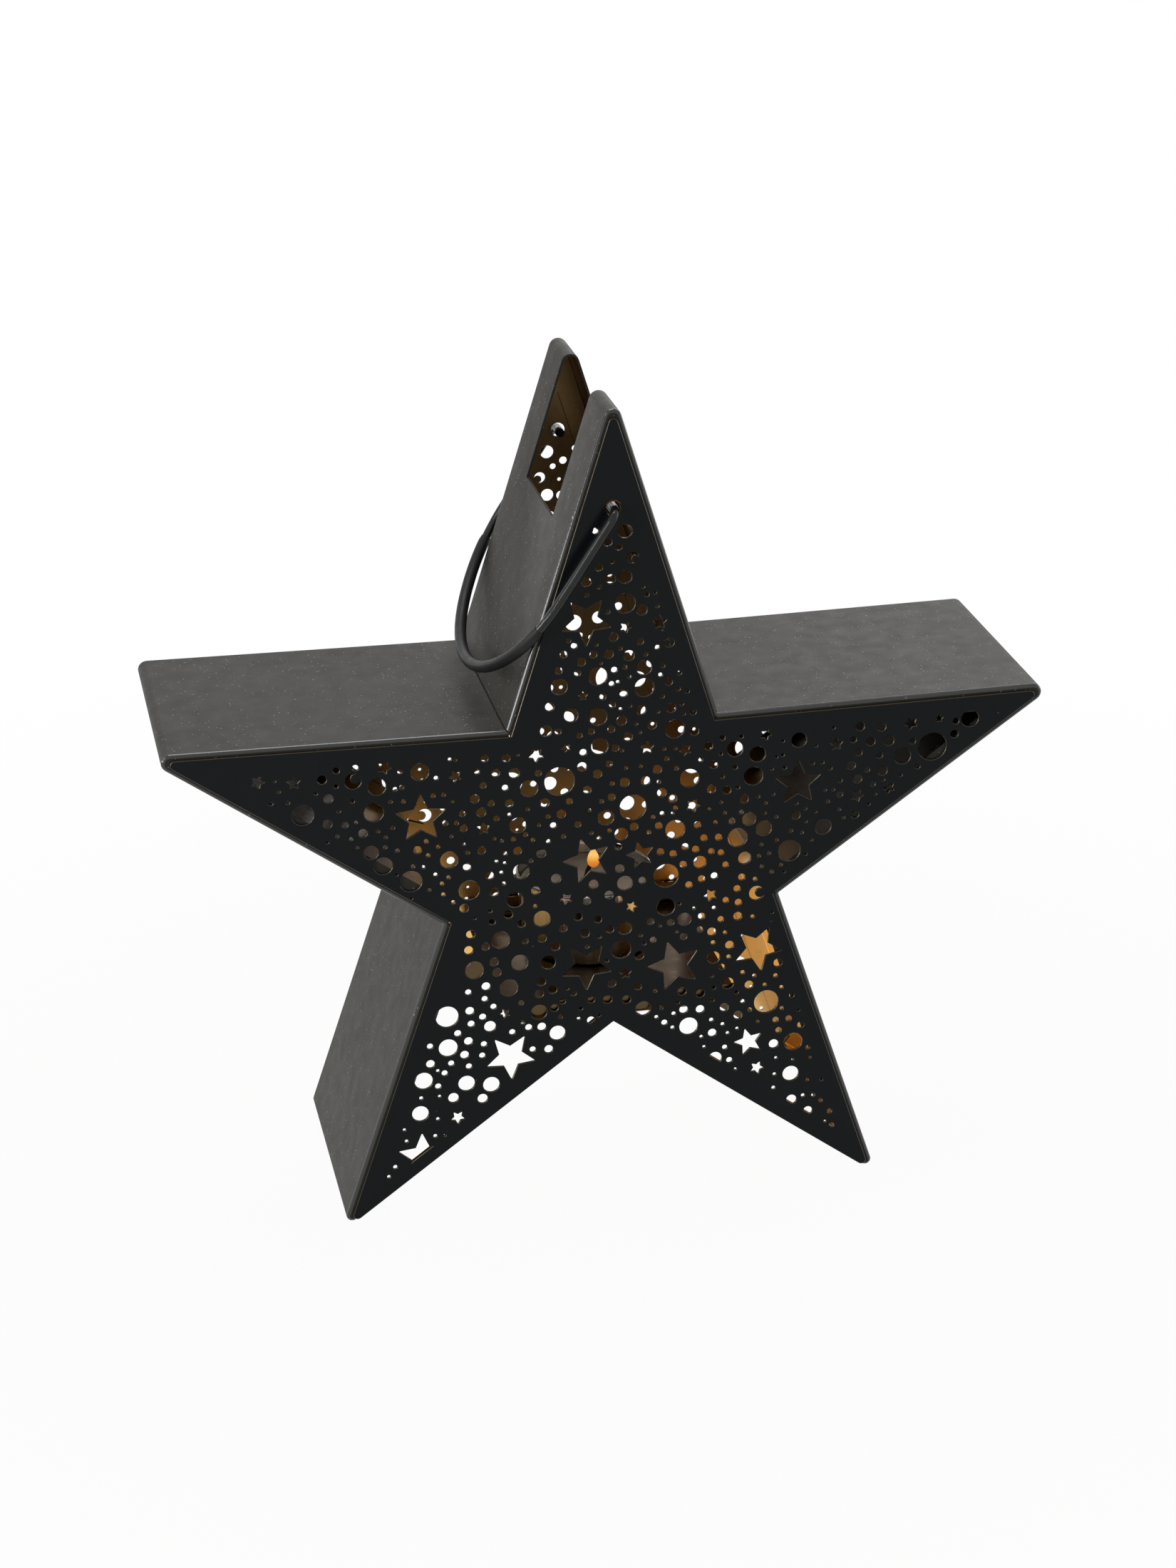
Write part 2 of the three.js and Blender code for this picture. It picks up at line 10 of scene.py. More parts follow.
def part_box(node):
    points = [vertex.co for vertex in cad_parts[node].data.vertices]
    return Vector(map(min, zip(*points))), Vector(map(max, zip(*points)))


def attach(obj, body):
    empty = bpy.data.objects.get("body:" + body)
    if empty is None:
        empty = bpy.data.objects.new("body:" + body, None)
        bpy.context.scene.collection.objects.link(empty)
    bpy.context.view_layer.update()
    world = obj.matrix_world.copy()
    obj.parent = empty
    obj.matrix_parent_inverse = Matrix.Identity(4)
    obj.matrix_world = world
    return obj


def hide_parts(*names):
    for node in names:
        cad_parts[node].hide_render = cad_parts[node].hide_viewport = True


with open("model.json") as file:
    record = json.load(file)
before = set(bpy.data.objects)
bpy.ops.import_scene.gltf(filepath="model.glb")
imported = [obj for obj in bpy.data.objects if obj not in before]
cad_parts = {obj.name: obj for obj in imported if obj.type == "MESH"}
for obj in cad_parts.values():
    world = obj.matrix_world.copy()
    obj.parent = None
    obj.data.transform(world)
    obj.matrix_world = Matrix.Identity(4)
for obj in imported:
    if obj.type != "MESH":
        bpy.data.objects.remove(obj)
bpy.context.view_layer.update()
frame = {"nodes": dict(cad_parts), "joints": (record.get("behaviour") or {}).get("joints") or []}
scene = bpy.context.scene
print("frame loaded:", sorted(frame["nodes"]))

# Sizes are millimetres on the star's own axes: x right, y back, z up from the star's centre
mm = 0.001
starForm = {
    "pointReach": 126.0,  # centre to the sharp corner of a point
    "notchReach": 46.9,   # centre to an inner corner
    "hingeDrop": 31.0,    # hinge line below the top corner
    "sheet": 0.6,
}
hinge = next(joint for joint in frame["joints"] if joint["name"] == "handle_swing")
hingeLevel = starForm["pointReach"] - starForm["hingeDrop"]
centreZ = hinge["pos_m"][2] / mm - hingeLevel
faceY = -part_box("front_panel")[0].y / mm
bandY = -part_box("left_side_band")[0].y / mm
openEdges = (4, 5)  # the two bottom edges that no band closes
footCorners = (4, 6)
closedNotches = (1, 3, 7, 9)


def rowPoint(x, y, z):
    return Vector((x, y, z + centreZ)) * mm


# Star drawing


def starCorners(tip, waist, turn=0.0):
    corners = []
    for k in range(10):
        reach = waist if k % 2 else tip
        angle = math.radians(90 + turn + 36 * k)
        corners.append(Vector((reach * math.cos(angle), reach * math.sin(angle))))
    return corners


starOutline = starCorners(starForm["pointReach"], starForm["notchReach"])
seamNotch, leftFoot, lowNotch = starOutline[1], starOutline[4], starOutline[5]


def leftNormal(a, b):
    along = (b - a).normalized()
    return Vector((-along.y, along.x))


def shiftLeft(points, distances):
    # every edge moves to its own left by its distance; corners follow on the mitre
    count = len(points)
    moved = []
    for k, corner in enumerate(points):
        n1 = leftNormal(points[k - 1], corner)
        n2 = leftNormal(corner, points[(k + 1) % count])
        d1, d2 = distances[k - 1], distances[k]
        cross = n1.x * n2.y - n1.y * n2.x
        if abs(cross) < 1e-6:
            moved.append(corner + n2 * d2)
        else:
            moved.append(corner + Vector((d1 * n2.y - d2 * n1.y, n1.x * d2 - n2.x * d1)) / cross)
    return moved


def roundCorners(points, radii, steps):
    # each corner becomes steps + 1 points on its arc, or the same point where it has no radius
    loop = []
    count = len(points)
    for k, corner in enumerate(points):
        radius = radii[k]
        if radius <= 0:
            loop += [corner.copy() for _ in range(steps + 1)]
            continue
        before = (points[k - 1] - corner).normalized()
        after = (points[(k + 1) % count] - corner).normalized()
        half = before.angle(after) / 2
        centre = corner + (before + after).normalized() * radius / math.sin(half)
        start = corner + before * radius / math.tan(half) - centre
        finish = corner + after * radius / math.tan(half) - centre
        first = math.atan2(start.y, start.x)
        sweep = math.atan2(start.x * finish.y - start.y * finish.x, start.dot(finish))
        for i in range(steps + 1):
            angle = first + sweep * i / steps
            loop.append(centre + radius * Vector((math.cos(angle), math.sin(angle))))
    return loop


def distinct(loop):
    return [p for k, p in enumerate(loop) if (p - loop[k - 1]).length > 1e-4]


def keepLeftOf(loop, start, end):
    # the part of a loop on the left of a line
    normal = leftNormal(start, end)
    kept = []
    for k, p in enumerate(loop):
        q = loop[k - 1]
        sideP, sideQ = (p - start).dot(normal), (q - start).dot(normal)
        if sideP * sideQ < 0:
            kept.append(q + (p - q) * sideQ / (sideQ - sideP))
        if sideP >= 0:
            kept.append(p)
    return kept


# Mesh helpers


def makePiece(name, points, faces, slots, finishes, sharp=30):
    mesh = bpy.data.meshes.new(name)
    mesh.from_pydata([rowPoint(*p) for p in points], [], faces)
    for finish in finishes:
        mesh.materials.append(finish)
    mesh.polygons.foreach_set("material_index", slots)
    piece = bpy.data.objects.new(name, mesh)
    scene.collection.objects.link(piece)
    smoothPiece(piece, sharp)
    return piece


def smoothPiece(piece, sharp=30):
    mesh = piece.data
    mesh.polygons.foreach_set("use_smooth", [True] * len(mesh.polygons))
    mesh.set_sharp_from_angle(angle=math.radians(sharp))
    mesh.update()


def closeMesh(piece, gap=0.002):
    # merges doubled points, drops collapsed faces and turns all faces outward
    work = bmesh.new()
    work.from_mesh(piece.data)
    bmesh.ops.remove_doubles(work, verts=work.verts, dist=gap * mm)
    bmesh.ops.dissolve_degenerate(work, edges=work.edges, dist=gap * mm)
    bmesh.ops.recalc_face_normals(work, faces=work.faces)
    work.to_mesh(piece.data)
    work.free()


def barPiece(name, ends, finishes):
    # a straight bar between two equal outlines
    count = len(ends[0])
    faces = [list(range(count)), list(range(2 * count - 1, count - 1, -1))]
    for k in range(count):
        n = (k + 1) % count
        faces.append([k, k + count, n + count, n])
    piece = makePiece(name, ends[0] + ends[1], faces, [0] * len(faces), finishes)
    closeMesh(piece)
    return piece


def prism(name, outline, yLow, yHigh):
    ends = [[(p.x, y, p.y) for p in outline] for y in (yLow, yHigh)]
    return barPiece(name, ends, [])


def cutPiece(piece, cutter, operation="DIFFERENCE"):
    step = piece.modifiers.new("cut", "BOOLEAN")
    step.object = cutter
    step.operation = operation
    step.solver = "EXACT"
    takeModifiers(piece)
    bpy.data.objects.remove(cutter)


def takeModifiers(piece):
    graph = bpy.context.evaluated_depsgraph_get()
    mesh = bpy.data.meshes.new_from_object(piece.evaluated_get(graph))
    old = piece.data
    piece.modifiers.clear()
    piece.data = mesh
    bpy.data.meshes.remove(old)


edgeForm = {"segments": 2, "above": 50, "sharp": 32}  # edges bent by more degrees are rounded


def roundEdges(piece, width):
    soft = piece.modifiers.new("edges", "BEVEL")
    soft.width = width * mm
    soft.segments = edgeForm["segments"]
    soft.limit_method = "ANGLE"
    soft.angle_limit = math.radians(edgeForm["above"])
    takeModifiers(piece)
    smoothPiece(piece, edgeForm["sharp"])


def joinPieces(name, pieces):
    work = bmesh.new()
    for piece in pieces:
        work.from_mesh(piece.data)
    first = pieces[0]
    work.to_mesh(first.data)
    work.free()
    for piece in pieces[1:]:
        bpy.data.objects.remove(piece)
    first.name = name
    return first


def turnedPoints(profile, sides, ripple=0.0, ripples=0):
    # a profile of (radius, height, share of the ripple) turned about its own axis
    points = []
    for k in range(sides):
        angle = 2 * math.pi * k / sides
        wave = ripple * math.cos(ripples * angle)
        for radius, height, share in profile:
            reach = radius + share * wave
            points.append(Vector((reach * math.cos(angle), reach * math.sin(angle), height)))
    return points


def turnedFaces(count, sides, closed):
    faces = []
    last = count if closed else count - 1
    for k in range(sides):
        here, there = k * count, (k + 1) % sides * count
        for i in range(last):
            n = (i + 1) % count
            faces.append([here + i, there + i, there + n, here + n])
    return faces


def turnedPiece(name, profile, sides, foot, finish, closed=False, sharp=40, **wave):
    profile = [p if len(p) == 3 else (*p, 0.0) for p in profile]
    points = [p + foot for p in turnedPoints(profile, sides, **wave)]
    faces = turnedFaces(len(profile), sides, closed)
    piece = makePiece(name, points, faces, [0] * len(faces), [finish], sharp)
    closeMesh(piece)
    smoothPiece(piece, sharp)
    return piece


def tubePiece(name, path, sideways, radiusAt, sides, finish, sharp=50):
    # a round bar along a path that lies in one plane; sideways is square to that plane
    points, faces = [], []
    count = len(path)
    for k, place in enumerate(path):
        ahead = path[min(k + 1, count - 1)] - path[max(k - 1, 0)]
        across = sideways.cross(ahead).normalized()
        for i in range(sides):
            angle = 2 * math.pi * i / sides
            out = across * math.cos(angle) + sideways * math.sin(angle)
            points.append(place + out * radiusAt(k, i))
    for k in range(count - 1):
        for i in range(sides):
            n = (i + 1) % sides
            faces.append([k * sides + i, k * sides + n, (k + 1) * sides + n, (k + 1) * sides + i])
    faces.append(list(range(sides)))
    faces.append(list(range((count - 1) * sides, count * sides)))
    piece = makePiece(name, points, faces, [0] * len(faces), [finish], sharp)
    closeMesh(piece, 0.0005)
    smoothPiece(piece, sharp)
    return piece


# Finishes


def newFinish(name):
    finish = bpy.data.materials.new(name)
    finish.use_nodes = True
    tree = finish.node_tree
    return finish, tree, tree.nodes["Principled BSDF"]


def feed(tree, socket, value):
    if isinstance(value, bpy.types.NodeSocket):
        tree.links.new(value, socket)
    else:
        socket.default_value = value


def dress(tree, shader, sockets):
    for name, value in sockets.items():
        feed(tree, shader.inputs[name], value)


def addNode(tree, kind, settings=None, **inputs):
    node = tree.nodes.new(kind)
    for key, value in (settings or {}).items():
        setattr(node, key, value)
    for key, value in inputs.items():
        feed(tree, node.inputs[key], value)
    return node


def placeOf(tree, stretch=(1, 1, 1), turn=(0, 0, 0)):
    where = addNode(tree, "ShaderNodeTexCoord").outputs["Object"]
    return addNode(tree, "ShaderNodeMapping", Vector=where, Scale=stretch, Rotation=turn).outputs["Vector"]


def noiseOf(tree, scale, detail=3.0, stretch=(1, 1, 1)):
    return addNode(tree, "ShaderNodeTexNoise", Vector=placeOf(tree, stretch), Scale=scale,
                   Detail=detail).outputs["Fac"]


def spread(tree, value, low, high, toLow, toHigh):
    node = addNode(tree, "ShaderNodeMapRange", {"clamp": True}, Value=value)
    for key, number in (("From Min", low), ("From Max", high), ("To Min", toLow), ("To Max", toHigh)):
        node.inputs[key].default_value = number
    return node.outputs["Result"]


def combine(tree, operation, first, second):
    node = addNode(tree, "ShaderNodeMath", {"operation": operation})
    feed(tree, node.inputs[0], first)
    feed(tree, node.inputs[1], second)
    return node.outputs[0]


def product(tree, first, second):
    return combine(tree, "MULTIPLY", first, second)


def larger(tree, first, second):
    return combine(tree, "MAXIMUM", first, second)


def mixColours(tree, share, first, second):
    node = addNode(tree, "ShaderNodeMix", {"data_type": "RGBA"})
    for socket, value in ((0, share), (6, first), (7, second)):
        feed(tree, node.inputs[socket], value)
    return node.outputs[2]


def bumpOf(tree, height, strength, distance, under=None):
    node = addNode(tree, "ShaderNodeBump", Height=height, Strength=strength, Distance=distance)
    if under is not None:
        tree.links.new(under, node.inputs["Normal"])
    return node.outputs["Normal"]


speckForm = {
    "askew": (0.5, 0.35, 0.8),  # turn of the grid, so that no row of specks follows a wall
    "sizes": (0.5, 1.3),        # smallest and largest speck, as shares of the usual one
    "height": 0.25,
}


def speckMask(tree, scale, size, rarity):
    # small round specks in some of the cells of a grid
    where = placeOf(tree, turn=speckForm["askew"])
    cells = addNode(tree, "ShaderNodeTexVoronoi", Vector=where, Scale=scale)
    drawn = addNode(tree, "ShaderNodeSeparateColor", Color=cells.outputs["Color"]).outputs
    share = spread(tree, drawn["Green"], 0, 1, *speckForm["sizes"])
    apart = combine(tree, "DIVIDE", cells.outputs["Distance"], share)
    near = spread(tree, apart, size * 0.5, size, 1, 0)
    kept = combine(tree, "GREATER_THAN", drawn["Red"], rarity)
    return product(tree, near, kept)


paintForm = {
    "reach": (0.3, 0.7),           # nearly all values of a noise lie between these
    "doubleReach": (0.12, 0.42),   # and of two noises multiplied
    "flakeReach": (0.55, 0.8), "flakeShare": 0.5,
    "waveDepth": 0.001, "grainDepth": 0.0001,
    "bronzeWave": 0.15, "bronzeGrain": 0.12,
}


def blackPaint(name, look):
    finish, tree, shader = newFinish(name)
    clouds = noiseOf(tree, look["cloudScale"], 4)
    streaks = noiseOf(tree, look["streakScale"], 3, (1, 1, look["streakStretch"]))
    both = spread(tree, product(tree, clouds, streaks), *paintForm["doubleReach"], 0, 1)
    tone = mixColours(tree, both, look["dark"], look["light"])
    dust = speckMask(tree, look["dustScale"], look["dustSize"], look["dustRarity"])
    colour = mixColours(tree, dust, tone, look["dust"])
    if "rub" in look:
        # paint rubbed through by the handle's wire, above the hole
        flat = placeOf(tree, (1, 0, 1))
        apart = addNode(tree, "ShaderNodeVectorMath", {"operation": "DISTANCE"}, Vector=flat)
        apart.inputs[1].default_value = (0, 0, hinge["pos_m"][2])
        height = addNode(tree, "ShaderNodeSeparateXYZ", Vector=placeOf(tree)).outputs["Z"]
        rubLow, rubHigh = (hinge["pos_m"][2] + rise for rise in look["rubAbove"])
        worn = product(tree, spread(tree, apart.outputs["Value"], *look["rub"], 1, 0),
                       spread(tree, height, rubLow, rubHigh, 0, 1))
        colour = mixColours(tree, worn, colour, look["copper"])
    rough = spread(tree, noiseOf(tree, look["roughScale"], 4), *paintForm["reach"], *look["rough"])
    deep, fine = paintForm["waveDepth"], paintForm["grainDepth"]
    wave = bumpOf(tree, noiseOf(tree, look["waveScale"], 1), look["waveStrength"], deep)
    peel = bumpOf(tree, noiseOf(tree, look["peelScale"], 2), look["peelStrength"], fine, wave)
    speck = bumpOf(tree, dust, speckForm["height"], fine, peel)
    dress(tree, shader, {"Base Color": colour, "Roughness": rough, "Specular IOR Level": look["gloss"],
                         "Specular Tint": look["sheen"], "Normal": speck})
    return finish


def bronzePaint(name, look):
    finish, tree, shader = newFinish(name)
    clouds = noiseOf(tree, look["cloudScale"], 4)
    flakes = noiseOf(tree, look["flakeScale"], 2)
    tone = mixColours(tree, spread(tree, clouds, *paintForm["reach"], 0, 1), look["dark"], look["light"])
    bright = spread(tree, flakes, *paintForm["flakeReach"], 0, paintForm["flakeShare"])
    colour = mixColours(tree, bright, tone, look["flake"])
    if "thin" in look:
        # painted shade: the inside colour turns dark brown upwards and near black in the right arm and far
        # to the left, where little light gets inside
        axes = addNode(tree, "ShaderNodeSeparateXYZ", Vector=placeOf(tree)).outputs
        inArm = product(tree, spread(tree, axes["X"], *look["armFrom"], 0, 1),
                        spread(tree, axes["Z"], *look["armAbove"], 0, 1))
        colour = mixColours(tree, spread(tree, axes["Z"], *look["thinFrom"], 0, 1), colour, look["thin"])
        colour = mixColours(tree, inArm, colour, look["bare"])
        colour = mixColours(tree, spread(tree, axes["X"], *look["leftFrom"], 1, 0), colour, look["bare"])
        # painted light: less orange near the open bottom, where light from the floor comes in
        low = spread(tree, axes["Z"], *look["footFrom"], 1, 0)
        colour = mixColours(tree, low, colour, look["foot"])
    rough = spread(tree, noiseOf(tree, look["roughScale"], 3), *paintForm["reach"], *look["rough"])
    deep, fine = paintForm["waveDepth"], paintForm["grainDepth"]
    wave = bumpOf(tree, noiseOf(tree, look["waveScale"], 1), paintForm["bronzeWave"], deep)
    grain = bumpOf(tree, flakes, paintForm["bronzeGrain"], fine, wave)
    dress(tree, shader, {"Base Color": colour, "Roughness": rough, "Metallic": 1.0, "Normal": grain})
    return finish


bandPaint = blackPaint("band_black_paint", {
    "dark": (0.0195, 0.0186, 0.0162, 1), "light": (0.0285, 0.0271, 0.0235, 1), "sheen": (1, 0.97, 0.89, 1),
    "dust": (0.24, 0.22, 0.19, 1), "dustScale": 1150, "dustSize": 0.24, "dustRarity": 0.75,
    "cloudScale": 28, "streakScale": 160, "streakStretch": 0.12,
    "rough": (0.49, 0.57), "roughScale": 220, "gloss": 0.19,
    "waveScale": 22, "waveStrength": 0.03, "peelScale": 1500, "peelStrength": 0.3})
panelPaint = blackPaint("panel_black_paint", {
    "dark": (0.0066, 0.0078, 0.009, 1), "light": (0.0096, 0.0108, 0.012, 1), "sheen": (0.96, 1, 1, 1),
    "dust": (0.09, 0.095, 0.1, 1), "dustScale": 260, "dustSize": 0.1, "dustRarity": 0.94,
    "cloudScale": 20, "streakScale": 60, "streakStretch": 1,
    "rub": (0.0019, 0.0024), "rubAbove": (0.001, 0.0016), "copper": (0.42, 0.17, 0.07, 1),
    "rough": (0.2, 0.26), "roughScale": 160, "gloss": 0.11,
    "waveScale": 18, "waveStrength": 0.04, "peelScale": 1700, "peelStrength": 0.15})
bendPaint = blackPaint("bend_black_paint", {
    "dark": (0.013, 0.0128, 0.012, 1), "light": (0.019, 0.0182, 0.017, 1), "sheen": (1, 1, 1, 1),
    "dust": (0.2, 0.18, 0.15, 1), "dustScale": 520, "dustSize": 0.17, "dustRarity": 0.9,
    "cloudScale": 28, "streakScale": 160, "streakStretch": 0.12,
    "rough": (0.13, 0.19), "roughScale": 400, "gloss": 0.6,
    "waveScale": 60, "waveStrength": 0.05, "peelScale": 1500, "peelStrength": 0.2})
rimPaint = blackPaint("hole_rim_black_paint", {
    "dark": (0.016, 0.0125, 0.008, 1), "light": (0.03, 0.023, 0.014, 1), "sheen": (1, 0.88, 0.68, 1),
    "dust": (0.12, 0.11, 0.1, 1), "dustScale": 700, "dustSize": 0.12, "dustRarity": 0.9,
    "cloudScale": 60, "streakScale": 200, "streakStretch": 1,
    "rough": (0.2, 0.32), "roughScale": 600, "gloss": 0.5,
    "waveScale": 120, "waveStrength": 0.15, "peelScale": 1800, "peelStrength": 0.2})
insidePaint = bronzePaint("inside_bronze_paint", {
    "dark": (0.86, 0.52, 0.165, 1), "light": (0.9, 0.555, 0.185, 1), "flake": (0.92, 0.62, 0.24, 1),
    "cloudScale": 45, "flakeScale": 2600, "roughScale": 300, "rough": (0.26, 0.34),
    # painted shade: darker higher up, in the right arm and far to the left
    "thin": (0.145, 0.092, 0.039, 1), "thinFrom": (0.05, 0.1),
    "bare": (0.03, 0.021, 0.013, 1), "armFrom": (0.042, 0.062), "armAbove": (0.078, 0.092),
    # painted light near the bottom: the foot colour, less orange, stands for light from the floor
    "leftFrom": (-0.065, -0.048), "foot": (0.84, 0.57, 0.24, 1), "footFrom": (0.014, 0.026),
    "waveScale": 24})
trayPaint = bronzePaint("tray_bronze_paint", {
    "dark": (0.08, 0.054, 0.027, 1), "light": (0.108, 0.074, 0.038, 1), "flake": (0.14, 0.1, 0.055, 1),
    "cloudScale": 45, "flakeScale": 2600, "roughScale": 300, "rough": (0.26, 0.34),
    "waveScale": 24})
rubbedEdge = bronzePaint("rubbed_hinge_hole", {
    "dark": (0.5, 0.22, 0.1, 1), "light": (0.75, 0.4, 0.2, 1), "flake": (0.85, 0.55, 0.32, 1),
    "cloudScale": 900, "flakeScale": 4000, "roughScale": 1500, "rough": (0.22, 0.4),
    "waveScale": 200})
panelFinishes = [panelPaint, insidePaint, rubbedEdge, rimPaint, trayPaint]
frontSlot, insideSlot, hingeSlot, rimSlot, hemSlot = range(5)
print("sheet finishes ready")
